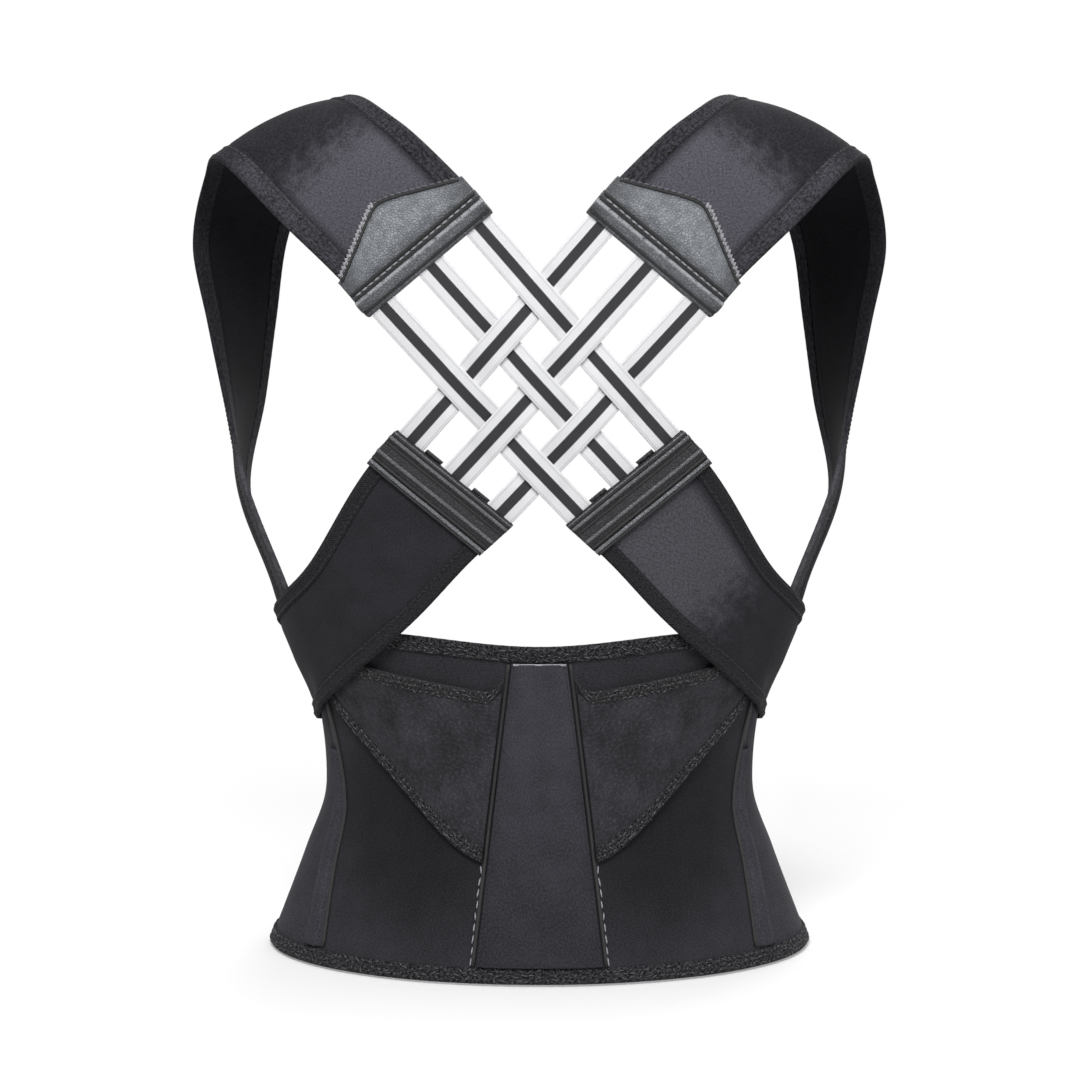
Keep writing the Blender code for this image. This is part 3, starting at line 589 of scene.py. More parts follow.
@dataclass(frozen=True)
class NappedTape(BrushedCloth):
    """Napped edge tape with painted shade on its inner leg and beyond the shoulder; down its lower length
    under the arm the shade fades out and the tape turns paler.
    """

    inner: Colour = BLACK
    shadow: float = 0.6
    leg: float = 0.0105
    light_end: float = 0.160
    under_arm: Pair = (0.375, 0.425)
    rubbed: Colour = shade(92, 92, 96)
    rubbing: float = 0.35

    def tone(self, graph: Graph, colour: Value, spot: Value) -> Value:
        """Paint shade on the inner leg and the far end, fading it out down the lower length, which is made
        paler.
        """
        along, across, _ = graph.split(spot)
        turned = graph.ramp(across, self.leg - 0.0005, self.leg + 0.0015)
        far = graph.ramp(along, self.light_end - 0.04, self.light_end)
        low = graph.ramp(along, *self.under_arm)
        # Painted shade on the inner leg and the far end, faded out down the lower length.
        deep = graph.math("MAXIMUM", turned, far) * (1.0 - low)
        shaded = graph.mix(deep * self.shadow, colour, self.inner)
        return graph.mix(low * self.rubbing, shaded, self.rubbed)


@dataclass(frozen=True)
class PadCloth(BrushedCloth):
    """Brushed cloth worn pale along its full middle on a padded strap; the same pale patch near the right
    cross strap's leather end is a painted sheen.
    """

    worn: Colour = (0.1, 0.1, 0.1, 1.0)
    width: float = 0.074
    worn_start: float = 0.010
    worn_end: float = 0.118

    def tone(self, graph: Graph, colour: Value, spot: Value) -> Value:
        """Add the pale tone inside the edge tapes, in brushed streaks that thin out up the shoulder: worn nap
        on the shoulder straps, and on the right cross strap a painted sheen that thins out away from its
        leather end.
        """
        along, across, _ = graph.split(spot)
        half = 0.5 * self.width
        edge = half - abs(across - half)
        torn = (graph.noise(spot, 160.0, 4.0, 0.7) - 0.5) * 0.06
        fade = 1.0 - graph.ramp(along + torn, self.worn_end - 0.045, self.worn_end)
        # Worn nap on the shoulder straps; painted sheen on the right cross strap.
        worn = graph.ramp(along, self.worn_start, self.worn_start + 0.02) * fade
        leaning = graph.read("ShaderNodeMapping", {"Vector": spot, "Rotation": (0.0, 0.0, 0.7),
                                                   "Scale": (0.55, 1.0, 1.0)})
        streaks = graph.ramp(graph.noise(leaning, 1150.0, 5.0, 0.85), 0.32, 0.68)
        share = graph.math("MULTIPLY", graph.ramp(edge, 0.007, 0.014) * worn, streaks * 0.70 + 0.10, True)
        return graph.mix(share, colour, self.worn)


@dataclass(frozen=True)
class KnitTape(Finish):
    """Fuzzy knitted edge tape with leaning ribs and looped knots."""

    dark: Colour
    light: Colour
    pitch: float = 0.0019
    knots: float = 0.0

    def draw(self, graph: Graph, spot: Value) -> Inputs:
        """Ribs in two tones under a fuzz of loose fibres."""
        ribs = graph.use(rib_pattern(), {"Place": spot, "Pitch": self.pitch})
        plain = ribs["Ribs"] * 0.55 + ribs["Fuzz"] * 0.45
        share = plain * (1.0 - self.knots) + ribs["Knots"] * self.knots
        return {"Base Color": graph.mix(share, self.dark, self.light),
                "Roughness": ribs["Ribs"] * -0.08 + 0.94, "Specular IOR Level": 0.06, "Sheen Weight": 0.04,
                "Normal": graph.bump(ribs["Relief"], 0.00030)}


@dataclass(frozen=True)
class Leatherette(Finish):
    """Semi-gloss grained leatherette."""

    base: Colour
    worn: Colour
    rough: float = 0.42
    gloss: float = 0.4

    def draw(self, graph: Graph, spot: Value) -> Inputs:
        """Pebbled grain, darker pores and paler worn patches."""
        grain = graph.use(grain_pattern(), {"Place": spot})
        worn = graph.mix(grain["Wear"] * 0.7, self.base, self.worn)
        pored = graph.mix(grain["Pores"] * 0.6, worn, dimmed(self.base, 0.35))
        return {"Base Color": self.tone(graph, pored, spot),
                "Roughness": grain["Wear"] * 0.12 + self.rough + grain["Pores"] * 0.2,
                "Specular IOR Level": self.gloss, "Normal": graph.bump(grain["Relief"], 0.00022)}


@dataclass(frozen=True)
class TabLeather(Leatherette):
    """Leatherette with painted shade round its edges and over its lower band, which leaves the middle of its
    leaf as a painted highlight, and a broken painted highlight along its roll.
    """

    size: Pair = (0.0839, 0.030)
    roll: Pair = (0.0362, 0.0016)
    dark: Colour = BLACK
    gleam: Colour = (0.5, 0.5, 0.5, 1.0)

    def tone(self, graph: Graph, colour: Value, spot: Value) -> Value:
        """Paint shade on the leather from its edges in and below its leaf, and a broken painted highlight
        along its roll.
        """
        along, across, _ = graph.split(spot)
        half, leaf = 0.5 * self.size[0], self.size[1]
        side = half - abs(along - half)
        loose = (graph.noise(spot, 220.0, 4.0, 0.7) - 0.5) * 0.012
        near = graph.math("MINIMUM", side, graph.math("MINIMUM", across, abs(leaf + 0.002 - across)))
        # Painted shade round the leaf's edges and at both ends.
        rim = 1.0 - graph.ramp(near + loose, 0.0, 0.009)
        ends = 1.0 - graph.ramp(side + loose, -0.002, 0.020)
        shaded = graph.mix(graph.math("MAXIMUM", rim, ends) * 0.68, colour, self.dark)
        # Painted shade over the band below the leaf.
        lower_shade = graph.ramp(across, leaf + 0.001, leaf + 0.002)
        shaded = graph.mix(lower_shade * 0.45, shaded, self.dark)
        # Broken painted highlight along the roll.
        light = 1.0 - graph.ramp(abs(across - self.roll[0]), 0.0, self.roll[1])
        broken = graph.ramp(graph.noise(spot, 260.0, 3.0, 0.6), 0.30, 0.55)
        return graph.mix(light * broken * 0.8, shaded, self.gleam)


@dataclass(frozen=True)
class StripedElastic(Finish):
    """Pale woven elastic with a dark stripe along its middle."""

    pale: Colour
    warp: Colour
    stripe: Colour

    def draw(self, graph: Graph, spot: Value) -> Inputs:
        """Corded weave in two pale tones, the stripe and the painted shade lines near the edges."""
        cords = graph.use(cord_pattern(), {"Place": spot})
        tone = graph.mix(cords["Weft"], self.warp, self.pale)
        # Painted shade line near each edge.
        tone = graph.mix(cords["Edges"] * 0.22, tone, self.stripe)
        dark = graph.mix(cords["Weft"], dimmed(self.stripe, 0.6), self.stripe)
        return {"Base Color": graph.mix(cords["Stripe"], tone, dark),
                "Roughness": cords["Weft"] * -0.15 + 0.75, "Specular IOR Level": 0.35,
                "Normal": graph.bump(cords["Relief"], 0.00002)}


@dataclass(frozen=True)
class Thread(Finish):
    """Twisted sewing thread."""

    colour: Colour
    fibre: Colour
    reads: ClassVar[Coordinates] = Coordinates.OBJECT

    def draw(self, graph: Graph, spot: Value) -> Inputs:
        """Two tones of fibre along the thread."""
        twist = graph.ramp(graph.noise(spot, 2600.0, 1.0), 0.35, 0.65)
        return {"Base Color": graph.mix(twist, self.fibre, self.colour), "Roughness": twist * -0.2 + 0.75,
                "Normal": graph.bump(twist, 0.00005)}


@dataclass(frozen=True)
class ClosureTape(Finish):
    """Hook tape or loop tape of the front closure."""

    dark: Colour
    light: Colour
    pitch: float
    upright: bool

    def draw(self, graph: Graph, spot: Value) -> Inputs:
        """Rows of moulded hooks, or a tangle of loops."""
        cells = graph.read("ShaderNodeTexVoronoi", {"Vector": spot, "Scale": 1.0 / self.pitch,
                                                    "Randomness": 0.15 if self.upright else 1.0}, "Distance")
        knob = graph.ramp(cells, 0.55, 0.1)
        return {"Base Color": graph.mix(knob, self.dark, self.light), "Roughness": knob * -0.3 + 0.85,
                "Sheen Weight": 0.0 if self.upright else 0.4, "Normal": graph.bump(knob, 0.0006)}


@dataclass(frozen=True)
class BoneStock(Finish):
    """Stock of the flat stays and side bones: drawn steel or translucent nylon."""

    base: Colour
    streak: Colour
    metallic: float
    rough: float
    reads: ClassVar[Coordinates] = Coordinates.OBJECT

    def draw(self, graph: Graph, spot: Value) -> Inputs:
        """Fine drawing lines along the strip, with dull patches."""
        drawn = graph.read("ShaderNodeMapping", {"Vector": spot, "Scale": (1.0, 1.0, 0.02)})
        lines = graph.ramp(graph.noise(drawn, 1800.0, 2.0), 0.35, 0.65)
        dull = graph.ramp(graph.noise(spot, 40.0, 3.0), 0.35, 0.70)
        return {"Base Color": graph.mix(lines, self.base, self.streak), "Metallic": self.metallic,
                "Roughness": dull * 0.2 + self.rough, "Normal": graph.bump(lines, 0.00002)}


# Belt cloth with painted shade in the small of the back.
BELT_CLOTH = HollowCloth("belt_cloth", "brushed_fabric", shade(40, 40, 43), shade(63, 63, 68), fleck=2000.0,
                         mottle=0.22, depth=0.00010)
SIDE_CLOTH = BrushedCloth("side_cloth", "brushed_fabric", shade(45, 45, 49), shade(71, 71, 77), fleck=1800.0,
                          mottle=0.25, depth=0.00010)
WING_CLOTH = BrushedCloth("wing_cloth", "brushed_fabric", shade(40, 40, 43), shade(76, 76, 81), fleck=1150.0,
                          sparse=0.05, mottle=0.40, depth=0.00018)
# Sleeve cloth with painted shade towards its lower end.
SLEEVE_CLOTH = GradedCloth("sleeve_cloth", "brushed_fabric", shade(48, 48, 53), shade(76, 76, 83),
                           fleck=1700.0, mottle=0.25, depth=0.00012)
CASING_CLOTH = BrushedCloth("casing_cloth", "knit_binding", shade(46, 46, 51), shade(73, 73, 80),
                            fleck=1800.0, depth=0.00012)
STRAP_CLOTH = BrushedCloth("strap_cloth", "brushed_fabric", shade(39, 39, 42), shade(57, 57, 62),
                           fleck=2200.0, mottle=0.3, depth=0.00006)
# Right cross strap cloth: its pale worn tone is a painted sheen near the leather end.
SHEEN_STRAP_CLOTH = PadCloth("rubbed_strap_cloth", "brushed_fabric", shade(37, 37, 40), shade(55, 55, 60),
                        fleck=1800.0, mottle=0.3, depth=0.00010, worn=shade(102, 101, 108), width=0.0694,
                        worn_start=0.012, worn_end=0.112)
PAD_CLOTH = PadCloth("pad_cloth", "brushed_fabric", shade(27, 27, 30), shade(49, 49, 54), fleck=1000.0,
                     depth=0.00024, worn=shade(108, 107, 117))
LINING_CLOTH = BrushedCloth("lining_cloth", "brushed_fabric", shade(18, 18, 21), shade(38, 38, 42),
                            fleck=1700.0, depth=0.00012)
EDGE_TAPE = KnitTape("edge_tape", "knit_binding", shade(15, 15, 16), shade(70, 70, 74), knots=0.75)
STRAP_TAPE = KnitTape("strap_tape", "knit_binding", shade(26, 26, 28), shade(60, 60, 64), pitch=0.0014,
                      knots=0.30)
# Edge tapes: inner and shadow set the colour and weight of their painted shade.
PAD_TAPE = NappedTape("pad_tape", "knit_binding", shade(32, 32, 35), shade(82, 82, 89), fleck=900.0,
                      depth=0.00024, inner=shade(26, 26, 29), shadow=0.55)
COLLAR_TAPE = NappedTape("collar_tape", "knit_binding", shade(22, 22, 24), shade(70, 70, 76), fleck=800.0,
                         depth=0.00024, inner=shade(26, 26, 29), shadow=0.15)
# Tab leather: dark is the colour of its painted shade, gleam of its painted highlight.
TAB_LEATHER = TabLeather("tab_leather", "leatherette", shade(118, 122, 128), shade(166, 170, 176), 0.34, 0.5,
                         dark=shade(44, 45, 48), gleam=shade(176, 178, 184))
CLIP_LEATHER = Leatherette("clip_leather", "leatherette", shade(30, 30, 33), shade(48, 48, 52), 0.36, 0.4)
# Pale lines on the clip's lip and rib crests: painted highlights.
RIDGE_HIGHLIGHT = Leatherette("ridge_leather", "leatherette", shade(92, 92, 97), shade(118, 118, 124), 0.34,
                            0.5)
# Piping on the clip's lower edge, coloured pale as a painted highlight.
HIGHLIT_PIPING = Leatherette("piping_leather", "leatherette", shade(112, 113, 118), shade(140, 141, 146), rough=0.32)
ELASTIC = StripedElastic("corded_elastic", "striped_elastic", shade(237, 237, 239), shade(228, 228, 231),
                         shade(50, 50, 53))
DARK_THREAD = Thread("dark_stitching", "knit_binding", shade(44, 44, 48), shade(22, 22, 24))
BLACK_THREAD = Thread("black_stitching", "knit_binding", shade(18, 18, 20), shade(9, 9, 10))
GREY_THREAD = Thread("grey_stitching", "knit_binding", shade(98, 98, 103), shade(62, 62, 66))
SPECK_THREAD = Thread("speckled_stitching", "knit_binding", shade(102, 102, 106), shade(46, 46, 50))
# Pale thread; the same finish draws the painted highlights on the sleeve.
PALE_THREAD_AND_HIGHLIGHT = Thread("pale_stitching", "knit_binding", shade(176, 176, 181), shade(118, 118, 123))
HOOKS = ClosureTape("moulded_hooks", "hook_tape", shade(22, 22, 24), shade(58, 58, 62), 0.0016, True)
LOOPS = ClosureTape("napped_loops", "loop_tape", shade(28, 28, 30), shade(66, 66, 70), 0.0011, False)
STEEL = BoneStock("drawn_steel", "stay_steel", shade(196, 197, 200), shade(216, 217, 220), 1.0, 0.28)
NYLON = BoneStock("clear_nylon", "bone", shade(214, 214, 208), shade(224, 224, 219), 0.0, 0.35)


# How pieces are held


@dataclass(frozen=True)
class Ride:
    """A piece that moves with one body."""

    body: str = "brace_back"

    def hold(self, piece: Piece) -> None:
        """Fix the piece to its body."""
        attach(piece, self.body)


@dataclass(frozen=True)
class Bend:
    """A piece that lies between the back of the brace and a moving body; it is not bent, only baked in place.
    """

    body: str
    start: Triple
    end: Triple

    def hold(self, piece: Piece) -> None:
        """Bake the piece's place into its mesh; the two points are read but the piece is not spread."""
        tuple(self.start)
        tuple(self.end)
        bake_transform(piece)


Hold = Union[Ride, Bend]


class Maker(Protocol):
    """Maker of one piece: a sheet, a folded tape, a row of stitches, a cord or a leather end."""

    def build(self, finish: Finish) -> Piece:
        """Make the piece in a finish."""


def settle(maker: Maker, finish: Finish, hold: Hold = Ride(), nodes: Sequence[str] = ()) -> Piece:
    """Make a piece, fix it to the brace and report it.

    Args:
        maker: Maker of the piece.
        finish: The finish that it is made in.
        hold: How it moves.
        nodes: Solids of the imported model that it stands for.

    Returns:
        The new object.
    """
    piece = maker.build(finish)
    if nodes:
        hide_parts(*nodes)
    hold.hold(piece)
    LOG.info("%s: %d faces", piece.name, len(piece.data.polygons))
    return piece


def place_mesh(name: str, form: bmesh.types.BMesh, finishes: Sequence[Finish]) -> Piece:
    """Turn a finished form into a smooth object at the origin.

    Args:
        name: Name of the piece.
        form: Closed form, which is freed.
        finishes: Finish of each material index.

    Returns:
        The new object.
    """
    bmesh.ops.recalc_face_normals(form, faces=form.faces[:])
    if form.calc_volume(signed=True) < 0.0:
        bmesh.ops.reverse_faces(form, faces=form.faces[:])
    for face in form.faces:
        face.smooth = True
    mesh = bpy.data.meshes.new(name)
    form.to_mesh(mesh)
    form.free()
    for finish in finishes:
        mesh.materials.append(finish.material())
    piece = bpy.data.objects.new(name, mesh)
    bpy.context.scene.collection.objects.link(piece)
    return piece


# Sheets, folded tapes and stitches


def stations(size: float, pitch: float, rim: float) -> list[float]:
    """Shares of a sheet's size at which it bends, closer together at its rounded rims."""
    turn = [0.0, 0.10 * rim, 0.35 * rim]
    inner = evenly(max(1, ceil((size - 2.0 * rim) / pitch)), rim, size - rim)
    return [spot / size for spot in (*turn, *inner, *(size - spot for spot in reversed(turn)))]


@dataclass
class Sheet:
    """Closed sheet with rounded rims, laid out flat and bent into place.

    place(along, across, layer) takes shares of the length and the width.
    """

    name: str
    place: Place
    length: float
    width: float
    layers: Layers
    pitch: float = 0.0035
    cross_pitch: float = 0.0035
    rim: float = 0.0009
    across: Optional[list[float]] = None
    lining: Optional[Finish] = None

    def build(self, finish: Finish) -> Piece:
        """Bend the sheet and give it its finish, and its inner face the lining, if it has one."""
        rows = stations(self.length, self.pitch, self.rim)
        columns = self.across or stations(self.width, self.cross_pitch, self.rim)
        form = bmesh.new()
        bmesh.ops.create_grid(form, x_segments=len(rows) - 1, y_segments=len(columns) - 1, size=0.5)
        raised = bmesh.ops.extrude_face_region(form, geom=form.faces[:])["geom"]
        outer = {part for part in raised if isinstance(part, bmesh.types.BMVert)}
        flat = form.loops.layers.uv.new("flat")
        spots = {vert: (rows[round((vert.co.x + 0.5) * (len(rows) - 1))],
                        columns[round((vert.co.y + 0.5) * (len(columns) - 1))]) for vert in form.verts}
        for face in form.faces:
            face.material_index = int(self.lining is not None and not outer.intersection(face.verts))
            for loop in face.loops:
                row, column = spots[loop.vert]
                loop[flat].uv = (row * self.length, column * self.width)
        for vert, (row, column) in spots.items():
            low, high = self.layers(row, column)
            half = 0.5 * (high - low) * self.roundness(row, column)
            middle = 0.5 * (high + low)
            vert.co = self.place(row, column, middle + half if vert in outer else middle - half)
        return place_mesh(self.name, form, [finish, self.lining] if self.lining else [finish])

    def roundness(self, row: float, column: float) -> float:
        """Share of the full thickness at a spot, which falls away round the rim."""
        gap = min(min(row, 1.0 - row) * self.length, min(column, 1.0 - column) * self.width)
        short = 1.0 - min(max(gap, 0.0) / self.rim, 1.0)
        return max(0.14, sqrt(max(0.0, 1.0 - short * short)))

    def declare(self, piece: Piece) -> None:
        """Work out how large the sheet was cut, from the lengths of its own middle face; the sizes are not
        kept or reported.
        """
        steps, sides = evenly(24), evenly(12)
        grid = [[self.place(s, t, 0.5 * sum(self.layers(s, t))) for t in sides] for s in steps]
        length = max(distances(column)[-1] for column in zip(*grid))
        width = max(distances(row)[-1] for row in grid)
        area = 0.0
        for a, b in zip(grid, grid[1:]):
            for j in range(len(sides) - 1):
                area += 0.5 * ((b[j + 1] - a[j]).cross(b[j] - a[j + 1])).length


@dataclass(frozen=True)
class Fold:
    """Tape or leather folded round an edge, in the plane across that edge.

    low and high are the layers that it covers, and set_back is how far behind the edge its bend starts.
    """

    low: float
    high: float
    thick: float
    set_back: float

    @property
    def radius(self) -> float:
        """Inner radius of the bend."""
        return 0.5 * (self.high - self.low)

    @property
    def bend(self) -> float:
        """Length of the bend."""
        return pi * self.radius

    def spot(self, lane: float, lift: float) -> Pair:
        """Distance from the edge and layer of a spot on the fold.

        Args:
            lane: Distance from the start of the bend, negative on the outer leg.
            lift: Height off the covered face.

        Returns:
            How far the spot lies behind the edge, and its layer.
        """
        if lane <= 0.0:
            return self.set_back - lane, self.high + lift
        turned = lane / self.radius
        if turned < pi:
            reach = self.radius + lift
            return self.set_back - reach * sin(turned), 0.5 * (self.high + self.low) + reach * cos(turned)
        return self.set_back + lane - self.bend, self.low - lift


@dataclass
class EdgeTape:
    """Tape folded over one edge: bound(along, behind the edge, layer) is the form of what it binds."""

    name: str
    bound: Place
    length: float
    fold: Fold
    leg: float = GAUGE.tape_leg
    pucker: float = 0.00016
    pucker_pitch: float = 0.0055

    def build(self, finish: Finish) -> Piece:
        """Fold the tape over the edge."""
        straight = self.leg - self.fold.set_back
        total = 2.0 * straight + self.fold.bend

        def place(along: float, across: float, layer: float) -> Vector:
            """Spot of the tape, gathered a little by its stitches."""
            lane = across * total - straight
            wave = self.pucker * sin(2.0 * pi * along * self.length / self.pucker_pitch)
            wave *= ease(abs(lane) / straight)
            behind, height = self.fold.spot(lane, layer + (wave if layer > 0.0 else 0.0))
            return self.bound(along, behind, height)

        return Sheet(self.name, place, self.length, total, even(self.fold.thick), pitch=0.0017,
                     cross_pitch=0.0010, rim=0.0004).build(finish)


class Stitch(Enum):
    """Kind of stitching."""

    RUNNING = "running"
    ZIGZAG = "zigzag"
    CHAIN = "chain"


@dataclass
class Seam:
    """Row of stitches: line(along, aside, lift) is a spot beside the seam, by share of its length."""

    name: str
    line: Place
    length: float
    stitch: Stitch = Stitch.RUNNING
    pitch: float = 0.0026
    reach: float = 0.0
    radius: float = 0.00030
    stray: float = 0.0

    def build(self, finish: Finish) -> Piece:
        """Lay each stitch as a small rounded strand."""
        form = bmesh.new()
        count = max(2, round(self.length / self.pitch))
        for k in range(count):
            for start, end in self.bites(k):
                self.strand(form, self.spot(count, *start), self.spot(count, *end))
        return place_mesh(self.name, form, [finish])

    def bites(self, k: int) -> list[tuple[Pair, Pair]]:
        """Both ends of each strand in one repeat, by count of repeats and distance aside."""
        half = 0.5 * self.reach
        if self.stitch is Stitch.RUNNING:
            return [((k, 0.0), (k + 0.72, 0.0))]
        if self.stitch is Stitch.ZIGZAG:
            return [((k, -half), (k + 0.5, half)), ((k + 0.5, half), (k + 1.0, -half))]
        rows = ((0.0, -half), (0.5, 0.0), (0.0, half))
        return [((k + lead, aside), (k + lead + 0.45, aside)) for lead, aside in rows]

    def spot(self, count: int, along: float, aside: float) -> Vector:
        """End of a strand, a little astray where the sewing is loose."""
        seed = Vector((3.7 * along, 1900.0 * aside, 50.0 * self.length))
        lead = along + self.stray * noise.noise(seed) / self.pitch
        return self.line(min(max(lead / count, 0.0), 1.0), aside + self.stray * noise.noise(seed * 1.7), 0.0)

    def strand(self, form: bmesh.types.BMesh, start: Vector, end: Vector) -> None:
        """Add one strand between two spots."""
        run = end - start
        turn = run.to_track_quat("Z", "Y").to_matrix().to_4x4()
        size = Matrix.Diagonal((self.radius, self.radius, 0.5 * run.length + self.radius, 1.0))
        bmesh.ops.create_icosphere(form, subdivisions=1, radius=1.0,
                                   matrix=Matrix.Translation((start + end) * 0.5) @ turn @ size)


@dataclass
class Cordlet:
    """Thin round piping along a line(share)."""

    name: str
    line: Callable[[float], Vector]
    radius: float
    count: int = 40

    def build(self, finish: Finish) -> Piece:
        """Sweep a small circle along the line and close its ends."""
        form = bmesh.new()
        rings = []
        for share in evenly(self.count):
            way = self.line(min(1.0, share + 0.01)) - self.line(max(0.0, share - 0.01))
            turn = way.to_track_quat("Z", "Y").to_matrix().to_4x4()
            ends = bmesh.ops.create_circle(form, cap_ends=share in (0.0, 1.0), radius=self.radius, segments=8,
                                           matrix=Matrix.Translation(self.line(share)) @ turn)["verts"]
            rings.append(list({edge for vert in ends for edge in vert.link_edges}))
        for first, second in zip(rings, rings[1:]):
            bmesh.ops.bridge_loops(form, edges=first + second)
        flat = form.loops.layers.uv.new("flat")
        for face in form.faces:
            for loop in face.loops:
                loop[flat].uv = (loop.vert.co.x + loop.vert.co.y, loop.vert.co.z)
        return place_mesh(self.name, form, [finish])


def overlock(name: str, line: Place, length: float, hold: Hold = Ride(), reach: float = 0.0048) -> None:
    """Overlock an edge with loose black knots and grey specks.

    Args:
        name: Name of the edge.
        line: Spot beside the middle of the stitches, by share of the length, distance aside and lift.
        length: Length of the edge.
        hold: How it moves.
        reach: Width of the stitches.
    """
    for word, pitch, radius, stray, finish in (("knots", 0.0029, 0.00050, 0.0020, BLACK_THREAD),
                                               ("specks", 0.0037, 0.00034, 0.0026, SPECK_THREAD)):
        settle(Seam(f"{name}_{word}", line, length, Stitch.CHAIN, pitch, reach, radius, stray), finish, hold)


# Waist belt


@dataclass
class WaistBelt:
    """Back and side panels, the tapes round their edges and the casings of the side bones."""

    pitch: float = 0.004
    casing_width: float = 0.0105
    casing_reach: float = 0.62
    casing_rim: float = 0.0028
    bone_rise: float = 0.0015
    chain_back: float = 0.0052

    def panel(self, name: str, side: Side, start: Profile, end: Profile,
              lift: Profile = lambda _angle: 0.0, hold: Hold = Ride(),
              cloth: Finish = BELT_CLOTH) -> None:
        """One panel between two seams whose angles depend on the height.

        Args:
            name: Name of the panel's node and piece.
            side: Side of the body.
            start: Angle of the first seam at a share of the height.
            end: Angle of the second seam at a share of the height.
            lift: Layer of the cloth at an angle.
            hold: How the panel moves.
            cloth: Finish of its outer face.
        """
        def place(along: float, across: float, layer: float) -> Vector:
            """Spot of the panel."""
            angle = blend(start(across), end(across), along)
            return side.mirror(TORSO.point(angle, BELT.height(angle, across), lift(angle) + layer))

        width = (place(0.5, 1.0, 0.0) - place(0.5, 0.0, 0.0)).length
        sheet = Sheet(name + "_cloth", place, run_length(place, 0.5, 12), width, even(GAUGE.cloth),
                      self.pitch, self.pitch, lining=LINING_CLOTH)
        sheet.declare(settle(sheet, cloth, hold, [name]))

    def binding(self, name: str, side: Side, start: float, end: float, top: bool,
                lift: Profile = lambda _angle: 0.0, hold: Hold = Ride()) -> None:
        """Tape over the belt's top edge or hem between two angles, sewn down with a loose chain.

        Args:
            name: Name of the tape's node and piece.
            side: Side of the body.
            start: First angle.
            end: Last angle.
            top: Whether it is the top edge.
            lift: Layer of the cloth at an angle.
            hold: How the tape moves.
        """
        def bound(along: float, behind: float, layer: float) -> Vector:
            """Spot behind the edge."""
            angle = blend(start, end, along)
            height = BELT.top(angle) - behind if top else BELT.hem(angle) + behind
            return side.mirror(TORSO.point(angle, height, lift(angle) + layer))

        length = run_length(bound, 0.0, 40)
        fold = Fold(low=-0.0002, high=GAUGE.cloth + 0.0002, thick=0.0008, set_back=0.0022)
        settle(EdgeTape(name + "_tape", bound, length, fold), EDGE_TAPE, hold, [name])
        overlock(name, shifted(bound, self.chain_back, fold.high + fold.thick + 0.0001), length, hold)

    def seam_cord(self, name: str, side: Side, angle: Profile) -> None:
        """Close the seam between two panels with a sunk cord.

        Args:
            name: Name of the cord.
            side: Side of the body.
            angle: Angle of the seam at a share of the height.
        """
        def line(share: float) -> Vector:
            """Spot of the cord inside the cloth."""
            return side.mirror(TORSO.point(angle(share), BELT.height(angle(share), share), 0.5 * GAUGE.cloth))

        settle(Cordlet(name, line, 0.5 * GAUGE.cloth), DARK_THREAD)

    def casing(self, side: Side) -> None:
        """Tape casing that covers the flat bone on a side seam."""
        start = (GAUGE.tape_leg + GAUGE.layer_gap) / BELT.back_top

        def place(along: float, across: float, layer: float) -> Vector:
            """Spot of the casing."""
            share = blend(start, self.casing_reach, along)
            angle = BELT.side_seam(share) + self.casing_width * (across - 0.5) / BELT.waist_half_depth
            return side.mirror(TORSO.point(angle, BELT.height(angle, share), layer))

        def layers(_along: float, across: float) -> Pair:
            """Low at the sewn edges and raised over the bone."""
            inward = (0.5 - abs(across - 0.5)) * self.casing_width
            rise = self.bone_rise * ease(inward / self.casing_rim - 0.35)
            return GAUGE.on_belt + rise - 0.0004, GAUGE.on_belt + rise + GAUGE.casing

        length = (place(1.0, 0.5, 0.0) - place(0.0, 0.5, 0.0)).length
        name = side.label + "_bone_casing"
        sheet = Sheet(name + "_tape", place, length, self.casing_width, layers, 0.003, 0.0008, 0.0006)
        settle(sheet, CASING_CLOTH, nodes=[name])
        seat = Cordlet(side.label + "_casing_seam", lambda s: place(1.3 * s, -0.06, GAUGE.on_belt), 0.0012)
        settle(seat, BLACK_THREAD)
        for word, across in (("back", 0.13), ("front", 0.87)):
            top = layers(0.5, across)[1] + 0.0001
            settle(Seam(f"{side.label}_casing_{word}_stitches",
                        lambda a, _b, c: place(a, across, top + c), length), DARK_THREAD)

    def build(self) -> None:
        """Make the panels, the seam cords, the two long bindings and the casings."""
        gap = BELT.seam_gap
        reach = BELT.flap_angle - gap
        for side in Side:
            self.panel(side.label + "_back_panel", side, lambda _: gap, lambda s: BELT.side_seam(s) - gap)
            self.panel(side.label + "_side_panel", side, lambda s: BELT.side_seam(s) + gap, lambda _: reach,
                       cloth=SIDE_CLOTH)
            self.casing(side)
            self.seam_cord(side.label + "_side_seam_cord", side, BELT.side_seam)
            self.seam_cord(side.label + "_flap_seam_cord", side, lambda _: BELT.flap_angle)
            for node, finish in ((side.label + "_spine_stay", STEEL), (side.label + "_side_bone", NYLON)):
                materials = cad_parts[node].data.materials
                materials.clear()
                materials.append(finish.material())
        self.seam_cord("back_seam_cord", Side.RIGHT, lambda _: 0.0)
        self.binding("back_top_binding", Side.RIGHT, -reach, reach, True)
        self.binding("back_hem_binding", Side.RIGHT, -reach, reach, False)


